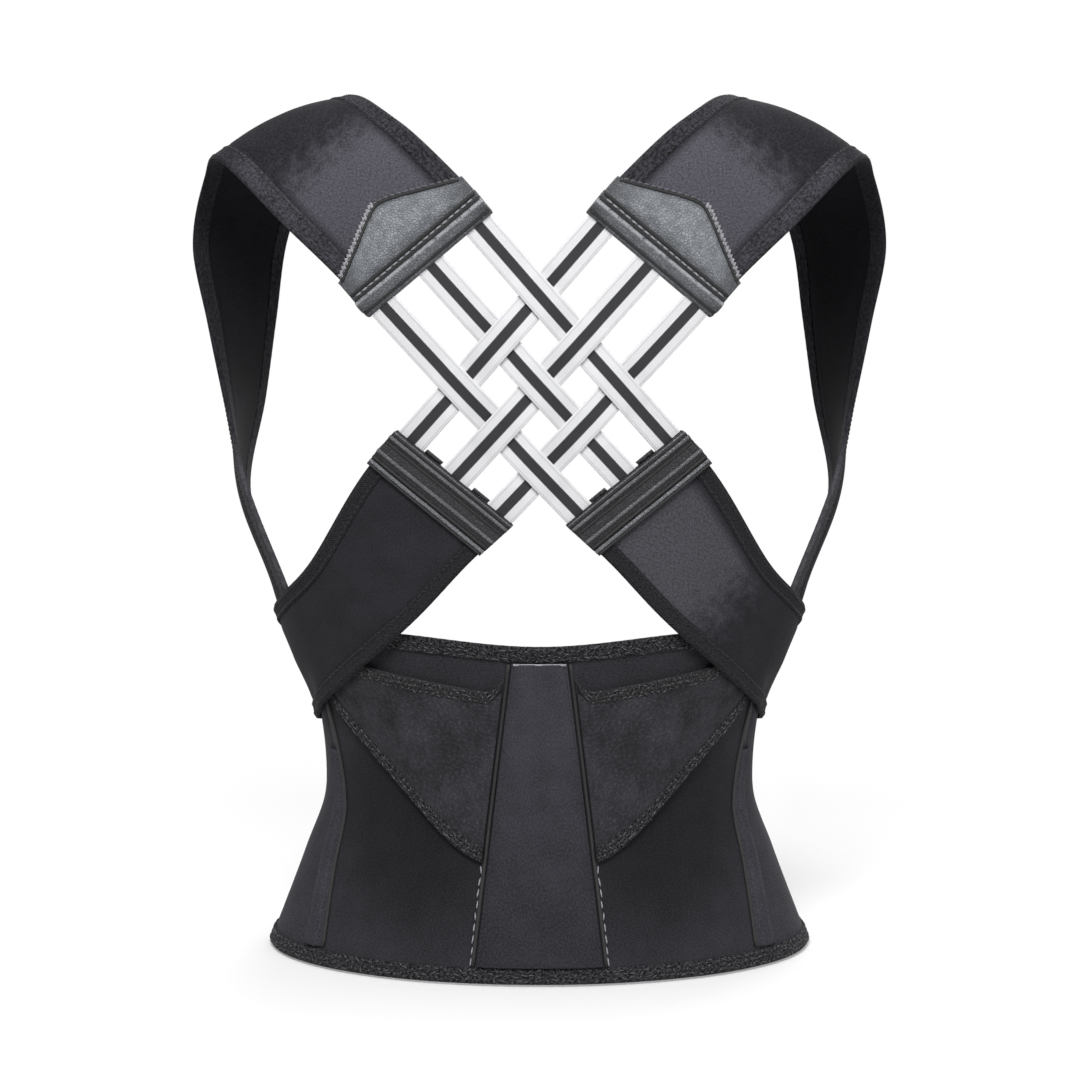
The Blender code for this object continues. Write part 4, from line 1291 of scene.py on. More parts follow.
@dataclass
class SpineSleeve:
    """Tapered sleeve over the two stays, with a sewn channel on each side."""

    top_half: float = 0.0173
    hem_half: float = 0.0365
    cover: float = 0.0016
    channel: float = 0.0030
    stitch_inset: float = 0.0042
    thread_reach: float = 0.335

    @property
    def low(self) -> float:
        """Height of the sleeve's lower end."""
        return GAUGE.tape_leg + GAUGE.layer_gap

    @property
    def high(self) -> float:
        """Height of the sleeve's upper end."""
        return BELT.back_top - GAUGE.tape_leg - GAUGE.layer_gap

    def half(self, height: float) -> float:
        """Half width of the sleeve at a height."""
        return blend(self.hem_half, self.top_half, (height - self.low) / (self.high - self.low))

    def place(self, along: float, across: float, layer: float) -> Vector:
        """Spot of the sleeve, from its lower end up and from left to right."""
        height = blend(self.low, self.high, along)
        half = self.half(height) - self.channel
        return TORSO.back_point(half * (2.0 * across - 1.0), height, layer)

    def layers(self, along: float, across: float) -> Pair:
        """Low at the sewn edges, raised over the stays, with a shallow dip along the spine."""
        half = blend(self.hem_half, self.top_half, along)
        aside = half * abs(2.0 * across - 1.0)
        rise = self.cover * ease((half - aside) / 0.0055)
        dip = 0.0004 * ease(1.0 - aside / 0.0045)
        return GAUGE.on_belt + rise - dip - 0.0002, GAUGE.on_belt + rise - dip + GAUGE.casing

    def build(self) -> None:
        """Make the sleeve, its stitch rows, a black cord of painted shade in each side channel, a pale cord
        along its top edge and the pale strands below the wings; the pale cord and strands are painted
        highlights.
        """
        length = self.high - self.low
        width = self.top_half + self.hem_half
        sheet = Sheet("spine_sleeve_cloth", self.place, length, width, self.layers, 0.0035, 0.0016, 0.0008)
        cloth = settle(sheet, SLEEVE_CLOTH, nodes=["spine_sleeve"])
        sheet.declare(cloth)
        for side in Side:
            def edge(along: float, inset: float, lift: float) -> Vector:
                """Spot inside the sleeve's edge."""
                height = blend(self.low, self.high, along)
                return side.mirror(TORSO.back_point(self.half(height) - inset, height, lift))

            # Black cord in the channel beside the sleeve: painted shade in that recess.
            settle(Cordlet(side.label + "_sleeve_seam",
                           lambda s: edge(s, 0.0012, GAUGE.cloth + 0.0002), 0.0013), BLACK_THREAD)
            top = GAUGE.on_belt + GAUGE.casing + 0.0004
            settle(Seam(side.label + "_sleeve_stitches", shifted(edge, self.stitch_inset, top), length),
                   DARK_THREAD)
            # Pale strands down the sleeve's edge below the wing: a painted highlight on the seam's edge.
            pale = Seam(side.label + "_sleeve_thread",
                        lambda a, b, c: edge(self.thread_reach * a, b - 0.0004, GAUGE.cloth + 0.0006 + c),
                        self.thread_reach * length, pitch=0.0058, radius=0.00046, stray=0.0007)
            settle(pale, PALE_THREAD_AND_HIGHLIGHT)
        # Pale cord along the sleeve's top edge: a painted highlight on its hem.
        settle(Cordlet("sleeve_top_piping",
                       lambda s: self.place(0.999, 0.02 + 0.96 * s, GAUGE.on_belt + 0.0016), 0.0006),
               PALE_THREAD_AND_HIGHLIGHT)


@dataclass
class LumbarWings:
    """Wings that leave the sleeve low down and run up under the cross straps."""

    sleeve: SpineSleeve
    tip_height: float = 0.0645
    side_low: float = 0.1395
    top_inner: float = 0.1560
    top_outer: float = 0.1720
    end_angle: float = radians(61)
    sag: float = 0.55
    curl: float = 0.014
    curl_reach: float = 0.10
    chain_back: float = 0.0046

    def low_edge(self, row: float) -> float:
        """Height of the bound lower edge at a share of the wing's length."""
        return blend(self.tip_height, self.side_low, row - self.sag * row * (1.0 - row) ** 3)

    def high_edge(self, row: float) -> float:
        """Height of the sewn upper edge."""
        return blend(self.top_inner, self.top_outer, row)

    def spot(self, row: float, height: float, layer: float) -> Vector:
        """Spot of a right wing at a height."""
        inner = TORSO.angle_at(self.sleeve.half(height) + GAUGE.seam, height)
        return TORSO.point(blend(inner, self.end_angle, row), height, GAUGE.on_belt + layer)

    def build(self) -> None:
        """Make both wings, their lower bindings and the chains along their upper edges."""
        for side in Side:
            def place(along: float, across: float, layer: float) -> Vector:
                """Spot of the wing."""
                height = blend(self.low_edge(along) + 0.0008, self.high_edge(along), across)
                return side.mirror(self.spot(along, height, layer))

            def bound(along: float, behind: float, layer: float) -> Vector:
                """Spot behind the lower edge."""
                return side.mirror(self.spot(along, self.low_edge(along) + behind, layer))

            def upper(along: float, aside: float, lift: float) -> Vector:
                """Spot beside the upper chain, which curls up beside the sleeve."""
                curl = self.curl * (1.0 - sqrt(1.0 - (1.0 - min(1.0, along / self.curl_reach)) ** 2))
                narrowed = aside * (1.0 - 35.0 * curl)
                return side.mirror(self.spot(along, self.high_edge(along) - 0.0036 + curl + narrowed, lift))

            def layers(along: float, across: float) -> Pair:
                """Softly swollen, and pressed thin under the binding and into the seam at the sleeve."""
                near = (self.high_edge(along) - self.low_edge(along)) * across
                swell = 0.0006 * ease(near / 0.02) * ease((1.0 - across) / 0.15) * ease(along / 0.06)
                press = 0.0009 * (1.0 - ease(along / 0.03))
                return 0.0003, GAUGE.strap - 0.0003 + swell - press

            length = run_length(place, 0.5, 20)
            name = side.label + "_lumbar_wing"
            sheet = Sheet(name + "_cloth", place, length, 0.060, layers, 0.0030, 0.0030, 0.0009)
            sheet.declare(settle(sheet, WING_CLOTH, nodes=[name]))
            edge = run_length(bound, 0.0, 20)
            fold = Fold(low=0.0002, high=GAUGE.strap - 0.0002, thick=0.0007, set_back=0.0018)
            tape = side.label + "_wing_binding"
            settle(EdgeTape(tape + "_tape", bound, edge, fold, 0.0085), EDGE_TAPE, nodes=[tape])
            overlock(tape, shifted(bound, self.chain_back, GAUGE.strap + 0.0006), edge)
            ground = Seam(side.label + "_wing_ground", shifted(upper, 0.0, GAUGE.strap), length,
                          Stitch.ZIGZAG, 0.0023, 0.0060, 0.00060, 0.0008)
            settle(ground, BLACK_THREAD)
            overlock(side.label + "_wing_upper_edge", shifted(upper, 0.0, GAUGE.strap + 0.0005), length)


@dataclass
class FrontFlaps:
    """Front flaps that close over each other with hook and loop tape."""

    belt: WaistBelt
    closure_tape: float = 0.0010
    closure_inset: float = 0.004
    lift_lead: float = 1.5
    hinge: Triple = (0.1356, 0.0479, 0.09)
    seam_reach: float = 0.0125
    soft: float = 0.030
    end_stitches: float = 0.030
    seam_stitches: float = 0.022

    @property
    def closure_lift(self) -> float:
        """Layer of the outer flap over the closure."""
        return GAUGE.on_belt + 2.0 * (self.closure_tape + GAUGE.layer_gap)

    def lift(self, angle: float) -> float:
        """Layer of the outer flap, which rises over the inner one before they overlap."""
        start = BELT.flap_angle + BELT.overlap
        end = pi - self.lift_lead * BELT.overlap
        return self.closure_lift * ease((angle - start) / (end - start))

    def hold(self, side: Side) -> Bend:
        """Hold of a flap's cloth, spanning the strip beside its hinge line."""
        angle = BELT.flap_angle
        way = Vector((cos(angle) * BELT.waist_half_width, sin(angle) * BELT.waist_half_depth, 0.0))
        way.normalize()
        start = Vector(self.hinge) + way * self.seam_reach
        end = start + way * self.soft
        return Bend(side.label + "_flap", tuple(side.mirror(start)), tuple(side.mirror(end)))

    def patch(self, name: str, side: Side, layer: float, finish: ClosureTape) -> None:
        """Hook or loop tape over the overlap.

        Args:
            name: Name of the patch's node and piece.
            side: Side of the flap that carries it.
            layer: Layer of its inner face.
            finish: Its finish.
        """
        reach = BELT.overlap - self.closure_inset / BELT.waist_half_width

        def place(along: float, across: float, lift: float) -> Vector:
            """Spot of the patch."""
            angle = blend(pi - reach, pi + reach, along)
            margin = GAUGE.tape_leg + self.closure_inset
            height = blend(BELT.hem(angle) + margin, BELT.top(angle) - margin, across)
            return side.mirror(TORSO.point(angle, height, layer + lift))

        length = 2.0 * reach * BELT.waist_half_width
        width = (place(0.5, 1.0, 0.0) - place(0.5, 0.0, 0.0)).length
        sheet = Sheet(name + "_tape", place, length, width, even(self.closure_tape), 0.002, 0.002, 0.0005)
        sheet.declare(settle(sheet, finish, Ride(side.label + "_flap"), [name]))

    def build(self) -> None:
        """Make the flaps, their bindings, their end stitches and the closure."""
        start, end = BELT.flap_angle + BELT.seam_gap, pi + BELT.overlap
        for side in Side:
            lift = self.lift if side is Side.RIGHT else (lambda _angle: 0.0)
            hold = self.hold(side)
            self.belt.panel(side.label + "_front_flap", side, lambda _: start, lambda _: end, lift, hold)
            self.belt.binding(side.label + "_flap_top_binding", side, start, end, True, lift, hold)
            self.belt.binding(side.label + "_flap_hem_binding", side, start, end, False, lift, hold)
            for word, angle in (("end", end - self.end_stitches), ("seam", start + self.seam_stitches)):
                def line(along: float, aside: float, up: float) -> Vector:
                    """Spot beside an upright stitch row."""
                    spot = angle + aside / BELT.waist_half_width
                    height = BELT.height(spot, 0.07 + 0.86 * along)
                    return side.mirror(TORSO.point(spot, height, lift(spot) + GAUGE.cloth + 0.0002 + up))

                settle(Seam(f"{side.label}_flap_{word}_stitches", line, 0.10), GREY_THREAD, hold)
        self.patch("loop_patch", Side.LEFT, GAUGE.on_belt, LOOPS)
        self.patch("hook_patch", Side.RIGHT, self.closure_lift - GAUGE.layer_gap - self.closure_tape, HOOKS)


# Straps


@dataclass
class StrapForm:
    """Form of a strap: place(distance from the nose, share across, layer), its width and its length."""

    place: Place
    width: Profile
    length: float

    def mirrored(self, side: Side) -> "StrapForm":
        """Form of a right strap, moved to one side."""
        return StrapForm(side.mirrored(self.place), self.width, self.length)

    def behind(self, far: bool) -> Place:
        """Form by distance from the nose, distance behind one edge, and layer."""
        def spot(distance: float, behind: float, layer: float) -> Vector:
            """Spot behind the edge."""
            share = behind / self.width(distance)
            return self.place(distance, 1.0 - share if far else share, layer)

        return spot


@dataclass
class StrapEnd:
    """Leather folded round the end of a strap.

    leaf(share) is the length of the outer leaf, and relief(distance, share) the height of its rolls and ribs.
    """

    name: str
    form: StrapForm
    leaf: Profile
    relief: Callable[[float, float], float]
    width: float
    plain: float
    outer_leaf: float = 0.030
    inner_leaf: float = 0.0150
    overhang: float = 0.0012

    def build(self, finish: Finish) -> Piece:
        """Fold the leather round the nose."""
        fold = Fold(low=-0.0003, high=GAUGE.strap + 0.0004, thick=GAUGE.leather, set_back=0.0029)
        far, near, bend = self.outer_leaf, self.plain - fold.set_back, fold.bend
        wide = self.width + 2.0 * self.overhang
        total = far + near + bend + (self.inner_leaf - fold.set_back)
        rim = (0.0, 0.00006, 0.00035, 0.001)
        lanes = [*rim, *evenly(18, rim[-1] + 0.001, far), *evenly(ceil(near / 0.0005), far, far + near)[1:],
                 *evenly(10, far + near, far + near + bend)[1:], *evenly(8, far + near + bend, total)[1:]]

        def place(along: float, across: float, layer: float) -> Vector:
            """Spot of the leather, from the outer leaf's end round the nose to the inner leaf's end."""
            share = blend(-self.overhang / self.width, 1.0 + self.overhang / self.width, along)
            within = min(max(share, 0.0), 1.0)
            lane = across * total
            if lane < far:
                distance = blend(self.leaf(within), self.plain, lane / far)
                behind, height = distance, fold.high + layer
            else:
                behind, height = fold.spot(lane - far - near, layer)
            if layer > 0.5 * GAUGE.leather and lane < far + near + 0.3 * bend:
                height += self.relief(behind, within)
            return self.form.place(behind, share, height)

        return Sheet(self.name + "_leather", place, wide, total, even(GAUGE.leather), pitch=0.0016,
                     rim=0.0009, across=[lane / total for lane in lanes]).build(finish)


@dataclass
class CrossStraps:
    """Straps from the belt's sides up to the middle of the back, with ribbed leather ends."""

    clip_x: float = 0.0430
    clip_height: float = 0.2725
    clip_tilt: float = radians(39.7)
    clip_width: float = 0.0756
    clip_length: float = 0.0210
    cross_layer: float = 0.004
    flare: float = 0.022
    narrowing: float = 0.0025
    side_top: float = 0.1885
    side_low: float = 0.1285
    end_top: float = 0.178
    end_low: float = 0.122
    end_angle: float = radians(104)
    top_shares: tuple[Pair, ...] = ((0.26, 0.58), (0.52, 0.85), (0.78, 1.0))
    low_shares: tuple[Pair, ...] = ((0.22, 0.45), (0.54, 0.83), (0.80, 1.0))
    sink_angle: float = radians(64)
    sink_span: float = radians(14)
    sink_edge: float = 0.45
    sink_edge_span: float = 0.40
    rib_rise: float = 0.0015
    ribs: tuple[Triple, ...] = ((0.0026, 0.0044, 0.0082), (0.0082, 0.0144, 0.0196))
    tongues: Pair = (0.295, 0.705)
    tongue_size: Pair = (0.0105, 0.0021)

    def corner(self, sign: float, distance: float = 0.0, narrowing: float = 0.0) -> Vector:
        """Angle and height of an end of the nose line, or of a corner farther down the strap."""
        along = Vector((cos(self.clip_tilt), sin(self.clip_tilt)))
        down = Vector((sin(self.clip_tilt), -cos(self.clip_tilt)))
        spot = Vector((self.clip_x, self.clip_height)) + along * (sign * (0.5 * self.clip_width - narrowing))
        spot += down * distance
        return Vector((TORSO.angle_at(spot.x, spot.y), spot.y))

    def edges(self) -> tuple[list[Vector], list[Vector]]:
        """Angle and height of both edges, from the nose to the sewn end."""
        upper = [self.corner(1.0), self.corner(1.0, self.flare)]
        lower = [self.corner(-1.0), self.corner(-1.0, self.flare, self.narrowing)]
        for edge, side, end, shares in ((upper, self.side_top, self.end_top, self.top_shares),
                                        (lower, self.side_low, self.end_low, self.low_shares)):
            start = edge[-1]
            for round_share, down_share in shares:
                edge.append(Vector((blend(start.x, self.end_angle, round_share),
                                    blend(start.y, side, down_share))))
            edge.append(Vector((self.end_angle, end)))
        return upper, lower

    def form(self) -> StrapForm:
        """Form of a right cross strap."""
        upper, lower = self.edges()
        middles = [TORSO.point(*((a + b) * 0.5), GAUGE.over_anchor) for a, b in zip(upper, lower)]
        places = distances(middles)
        top, low = Curve(places, upper), Curve(places, lower)
        sunk = GAUGE.on_belt + 0.5 * GAUGE.layer_gap

        def place(distance: float, share: float, layer: float) -> Vector:
            """Spot of the strap, which lies flat on the belt beyond the shoulder strap's end."""
            angle, height = blend(top(distance), low(distance), share)
            high = blend(self.cross_layer - 0.5 * GAUGE.strap, GAUGE.over_anchor, ease(distance / places[2]))
            sink = ease((angle - self.sink_angle) / self.sink_span)
            sink *= ease((share - self.sink_edge) / self.sink_edge_span)
            return TORSO.point(angle, height, blend(high, sunk, sink) + layer)

        spots = evenly(20, -0.003, places[-1])
        width = Curve(spots, [(place(spot, 1.0, 0.0) - place(spot, 0.0, 0.0)).length for spot in spots])
        return StrapForm(place, width, places[-1])

    def relief(self, distance: float, _share: float) -> float:
        """Height of the lip and of the ribs across the leather end."""
        lip = 0.0006 * ease(1.0 - abs(distance - 0.0012) / 0.0012)
        rise = 0.0
        for foot, ridge, far in self.ribs:
            rise = max(rise, min((distance - foot) / (ridge - foot), (far - distance) / (far - ridge)))
        rounded = 1.0 - hypot(1.0 - min(max(rise, 0.0), 1.0), 0.12) + 0.12 if rise > 0.0 else 0.0
        return max(lip, self.rib_rise * rounded)

    def build(self) -> None:
        """Make the straps, their bindings, stitches and leather ends."""
        form = self.form()
        for side in Side:
            mine = form.mirrored(side)
            name = side.label + "_cross_strap"
            # The right strap's cloth carries a painted sheen near its leather end.
            cloth = SHEEN_STRAP_CLOTH if side is Side.RIGHT else STRAP_CLOTH
            dress_strap(name, mine, form.length, cloth, Ride(), [name])
            end = StrapEnd(name + "_end", mine, lambda _: self.clip_length, self.relief, self.clip_width,
                           self.clip_length - 0.001, overhang=0.0010)
            settle(end, CLIP_LEATHER, nodes=[name + "_end"])
            self.line_end(name, mine)

    def line_end(self, name: str, form: StrapForm) -> None:
        """Lay pale painted-highlight lines along the leather end's lip and ribs, dark lines along its grooves
        and a piping along its lower edge, pale as a painted highlight, and sew its border.

        Args:
            name: Name of the strap.
            form: Form of the strap.
        """
        rim = GAUGE.strap + GAUGE.leather + 0.0004
        # The lip and rib lines are painted highlights; the lower piping is real but pale as a painted
        # highlight.
        lines = [("lower_piping", self.clip_length + 0.0010, 0.0011, HIGHLIT_PIPING),
                 ("lip_piping", 0.0014, 0.0005, RIDGE_HIGHLIGHT),
                 ("lower_seam", self.clip_length + 0.0028, 0.0008, BLACK_THREAD),
                 ("last_groove_seam", self.ribs[-1][2] - 0.0004, 0.0009, BLACK_THREAD)]
        for k, (foot, ridge, _) in enumerate(self.ribs, 1):
            lines.append((f"rib_{k}_piping", ridge, 0.0010, RIDGE_HIGHLIGHT))
            lines.append((f"groove_{k}_seam", foot, 0.0010, BLACK_THREAD))
        for word, distance, radius, finish in lines:
            high = rim + self.relief(distance, 0.5)
            settle(Cordlet(f"{name}_{word}",
                           lambda s: form.place(distance, blend(-0.012, 1.012, s), high), radius), finish)
        for k, share in enumerate(self.tongues, 1):
            def tongue(along: float, across: float, layer: float) -> Vector:
                """Spot of a tongue between two bands."""
                aside = self.tongue_size[0] * (along - 0.5) / self.clip_width
                return form.place(-self.tongue_size[1] * across, share + aside, 0.5 * GAUGE.strap + layer)

            settle(Sheet(f"{name}_tongue_{k}", tongue, *self.tongue_size, even(0.0012, -0.0012),
                         0.0016, 0.0006, 0.0006), CLIP_LEATHER)
        for word, share in (("upper", 0.045), ("lower", 0.955)):
            def border(along: float) -> Vector:
                """Spot of the border, over the ribs."""
                distance = blend(0.0026, self.ribs[-1][2], along)
                return form.place(distance, share, rim + self.relief(distance, share) - 0.0002)

            settle(Cordlet(f"{name}_{word}_border", border, 0.0005), BLACK_THREAD)


def dress_strap(name: str, form: StrapForm, length: float, cloth: Finish, hold: Hold, nodes: Sequence[str],
                plump: Profile = lambda _distance: 0.0002, tape_end: float = 0.0,
                tapes: tuple[Finish, Finish] = (STRAP_TAPE, STRAP_TAPE), leg: float = GAUGE.tape_leg) -> None:
    """Make a strap's cloth, the folded tape on both edges and their stitches.

    Args:
        name: Name of the strap.
        form: Its form.
        length: Length of the cloth from the nose.
        cloth: Finish of the outer face.
        hold: How it moves.
        nodes: Solids that the cloth stands for.
        plump: Height that the padding adds in the middle, by distance from the nose.
        tape_end: Distance at which the tapes end, or 0 for the cloth's end.
        tapes: Finishes of the outer and the inner tape.
        leg: Width of the tapes on each face.
    """
    start = GAUGE.leather + GAUGE.layer_gap
    tape_end = tape_end or length

    def place(along: float, across: float, layer: float) -> Vector:
        """Spot of the cloth inside its tapes."""
        distance = blend(start, length, along)
        inset = 0.0010 / form.width(distance)
        return form.place(distance, blend(inset, 1.0 - inset, across), layer)

    def layers(along: float, across: float) -> Pair:
        """Full in the middle, pressed thin under the tapes."""
        distance = blend(start, length, along)
        edge = (0.5 - abs(across - 0.5)) * form.width(distance)
        full = ease((edge - 0.0075) / 0.006)
        swell = plump(distance) * ease(edge / (0.42 * form.width(distance)))
        return blend(0.0006, 0.0, full), blend(GAUGE.strap - 0.0006, GAUGE.strap, full) + swell

    middle = form.width(0.5 * length)
    sheet = Sheet(name + "_cloth", place, length - start, middle, layers, 0.0032, 0.0028, 0.0009,
                  lining=LINING_CLOTH)
    sheet.declare(settle(sheet, cloth, hold, nodes))
    fold = Fold(low=0.0004, high=GAUGE.strap - 0.0004, thick=0.0007, set_back=0.0016)
    for word, far, finish in (("outer", False, tapes[0]), ("inner", True, tapes[1])):
        behind = form.behind(far)

        def bound(along: float, back: float, layer: float) -> Vector:
            """Spot behind the bound edge."""
            return behind(blend(start, tape_end, along), back, layer)

        tape = f"{name}_{word}_binding"
        run = tape_end - start
        settle(EdgeTape(tape + "_tape", bound, run, fold, leg), finish, hold, [tape])
        over = fold.high + fold.thick + 0.0001
        for row, back, radius in (("near", 0.0024, 0.00030), ("far", leg - 0.0014, 0.00044)):
            settle(Seam(f"{tape}_{row}_stitches", shifted(bound, back, over), run, pitch=0.0034,
                        radius=radius, stray=0.0003), BLACK_THREAD, hold)


# Shoulder straps


@dataclass
class ShoulderStraps:
    """Padded shoulder straps with leather tabs, from the elastic over the shoulder to the belt's sides."""

    tab_x: float = 0.0552
    tab_height: float = 0.3825
    tab_tilt: float = radians(40.5)
    tab_width: float = 0.0815
    tab_edge: float = 0.0240
    tab_row_step: float = 0.0225
    tab_peak: float = 0.0462
    tab_peak_round: float = 0.10
    roll_start: float = 0.0099
    roll_end: float = 0.0030
    roll_rise: float = 0.0020
    grooves: Pair = (0.0104, 0.0136)
    beads: float = 0.0120
    cross_layer: float = 0.004
    fold_height: float = 0.2060
    fold_angle: float = radians(82)
    fold_width: float = 0.042
    fold_depth: float = 0.0915
    anchor_length: float = 0.031
    ridge: Triple = (0.1400, -0.003, 0.4540)
    ridge_width: float = 0.0822
    ridge_crown: float = 0.0055
    blade_step: Triple = (-0.035, -0.059, -0.0235)
    collar_step: Triple = (0.016, 0.049, -0.018)
    chest: Triple = (0.1724, 0.0780, 0.391)
    chest_width: float = 0.0740
    chest_bulge: float = 0.004
    armhole: Triple = (0.1718, 0.0700, 0.3025)
    armhole_width: float = 0.0660
    side_bulge: float = 0.0095
    cups: tuple[float, ...] = (0.0, 0.0, 0.0, 0.0, 0.0, 0.0015, 0.0036)
    turns: Pair = (radians(9), radians(75.5))
    side_turn: float = radians(94)
    leans: tuple[float, ...] = (41.0, 25.0, 14.0, 3.0, 0.0, -3.0, -9.0)
    plump: float = 0.0012
    plump_run: float = 0.10
    tape_overlap: float = 0.012
    hinge_x: float = 0.1506
    soft_heights: Pair = (0.190, 0.240)

    def fold_at(self, share: float) -> float:
        """Angle round the body of a place across the strap's lower end."""
        half = 0.5 * self.fold_width / self.fold_depth
        return blend(self.fold_angle - half, self.fold_angle + half, share)

    def tab_row(self, distance: float) -> list[Vector]:
        """Outer edge, middle and inner edge on the back, at a distance from the nose."""
        along = Vector((-cos(self.tab_tilt), sin(self.tab_tilt)))
        upward = Vector((sin(self.tab_tilt), cos(self.tab_tilt)))
        middle = Vector((self.tab_x, self.tab_height)) + upward * distance
        spots = [middle + along * (self.tab_width * share) for share in (-0.5, 0.0, 0.5)]
        return [TORSO.back_point(spot.x, spot.y, self.cross_layer) for spot in spots]

    def rows(self) -> list[list[Vector]]:
        """Rows across a right strap, from its tab over the shoulder and down to the fold."""
        ridge = Vector(self.ridge)
        chest, armhole = Vector(self.chest), Vector(self.armhole)
        breast = blend(chest, armhole, 0.5) + Vector((0.0, self.chest_bulge, 0.0))
        fold = [TORSO.point(self.fold_at(share), self.fold_height, GAUGE.anchor + 0.5 * GAUGE.strap)
                for share in (0.0, 0.5, 1.0)]
        side = blend(armhole, fold[1], 0.5) + Vector((self.side_bulge, 0.0, 0.0))
        middles = (ridge + Vector(self.blade_step), ridge, ridge + Vector(self.collar_step), chest, breast,
                   armhole, side)
        widths = (self.ridge_width, self.ridge_width, blend(self.ridge_width, self.chest_width, 0.5),
                  self.chest_width, blend(self.chest_width, self.armhole_width, 0.5), self.armhole_width,
                  blend(self.armhole_width, self.fold_width, 0.5))
        crowns = (0.5 * self.ridge_crown, self.ridge_crown, 0.5 * self.ridge_crown, 0.0, 0.0, 0.0, 0.0)
        free = []
        turned = [*evenly(len(middles) - 2, *self.turns), self.side_turn]
        stances = zip(middles, turned, self.leans, widths, crowns, self.cups)
        for middle, turn, lean, width, crown, cup in stances:
            tip = radians(lean)
            way = Vector((-cos(turn) * cos(tip), sin(turn) * cos(tip), sin(tip))) * (0.5 * width)
            rim = middle - Vector((cup, 0.0, 0.0))
            free.append([rim - way, middle + Vector((0.0, 0.0, crown)), rim + way])
        return [self.tab_row(0.0), self.tab_row(self.tab_row_step), *free, fold]

    def form(self) -> StrapForm:
        """Form of a right shoulder strap, which runs on down the belt's side below its fold."""
        rows = self.rows()
        places = distances([row[1] for row in rows])
        outer, middle, inner = (Curve(places, [row[k] for row in rows]) for k in range(3))
        end, step = places[-1], 0.0005

        def surface(distance: float, share: float) -> Vector:
            """Spot of the strap's middle face."""
            low, mid, high = outer(distance), middle(distance), inner(distance)
            return blend(low, high, share) + (mid - (low + high) * 0.5) * (4.0 * share * (1.0 - share))

        def place(distance: float, share: float, layer: float) -> Vector:
            """Spot of the strap off its inner face."""
            if distance > end:
                height = self.fold_height - (distance - end)
                return TORSO.point(self.fold_at(share), height, GAUGE.anchor + layer)
            along = surface(distance + step, share) - surface(distance - step, share)
            across = surface(distance, share + step) - surface(distance, share - step)
            return surface(distance, share) + along.cross(across).normalized() * (layer - 0.5 * GAUGE.strap)

        spots = evenly(60, -0.003, end)
        width = Curve([*spots, end + 0.1], [*((surface(d, 1.0) - surface(d, 0.0)).length for d in spots),
                                            (surface(end, 1.0) - surface(end, 0.0)).length])
        return StrapForm(place, width, end)

    def leaf(self, share: float) -> float:
        """Length of the tab's outer leaf, which rises to a blunt peak in the middle."""
        aside, soft = abs(2.0 * share - 1.0), self.tab_peak_round
        fall = (hypot(aside, soft) - soft) / (hypot(1.0, soft) - soft)
        return blend(self.tab_peak, self.tab_edge, fall)

    def relief(self, distance: float, share: float) -> float:
        """Height of the lip, the roll and the sunk stitch lines of the tab."""
        middle, half = 0.5 * (self.roll_start + self.roll_end), 0.5 * (self.roll_start - self.roll_end)
        roll = self.roll_rise * sqrt(max(0.0, 1.0 - ((distance - middle) / half) ** 2))
        lip = 0.0008 * ease(1.0 - abs(distance - 0.0008) / 0.0016)
        sunk = sum(ease(1.0 - abs(distance - line) / 0.0008) for line in self.grooves)
        edge = self.leaf(share) - distance
        rim = ease(1.0 - abs(edge - 0.0023) / 0.0008) if distance > self.grooves[1] else 0.0
        return max(roll, lip) - 0.0006 * max(sunk, rim)

    def build(self) -> None:
        """Make the straps, their bindings, the tabs and the tabs' stitches."""
        form = self.form()
        total = form.length + self.anchor_length
        for side in Side:
            mine = form.mirrored(side)
            soft = ((self.hinge_x * side.value, 0.0, height) for height in self.soft_heights)
            hold = Bend(side.label + "_shoulder", *soft)
            name = side.label + "_shoulder_strap"
            dress_strap(name, mine, total, PAD_CLOTH, hold, [name, side.label + "_strap_anchor"],
                        lambda d: 0.0002 + self.plump * ease((form.length - d) / self.plump_run),
                        form.length + self.tape_overlap, (PAD_TAPE, COLLAR_TAPE), PAD_TAPE.leg)
            carried = Ride(side.label + "_shoulder")
            tab = side.label + "_shoulder_tab"
            end = StrapEnd(tab, mine, self.leaf, self.relief, self.tab_width, self.grooves[1] + 0.0014)
            settle(end, TAB_LEATHER, carried, [tab])
            self.stitch_tab(tab, mine, carried)

    def stitch_tab(self, tab: str, form: StrapForm, hold: Hold) -> None:
        """Sew round a tab: two rows above its roll, one round its outline and a zigzag on its outer slope.

        Args:
            tab: Name of the tab.
            form: Form of the strap that carries it.
            hold: How it moves.
        """
        top = GAUGE.strap + 0.0004 + GAUGE.leather + 0.0001
        for word, distance in zip(("roll", "low", "high"), (self.roll_end - 0.0004, *self.grooves)):
            sunk = Cordlet(f"{tab}_{word}_seam",
                           lambda s: form.place(distance, blend(-0.005, 1.005, s), top - 0.0002), 0.0009)
            settle(sunk, BLACK_THREAD, hold)
        for word, distance, finish in (("bead", self.beads, PALE_THREAD_AND_HIGHLIGHT),
                                       ("high", self.grooves[1], BLACK_THREAD)):
            row = Seam(f"{tab}_{word}_row",
                       lambda a, b, c: form.place(distance + b, blend(0.02, 0.98, a), top + c), 0.081,
                       pitch=0.0042, radius=0.00062)
            settle(row, finish, hold)

        def outline(along: float, aside: float, lift: float) -> Vector:
            """Spot inside the leaf's slanted edge."""
            share = blend(0.015, 0.985, along)
            return form.place(self.leaf(share) - 0.0020 - aside, share, top + lift)

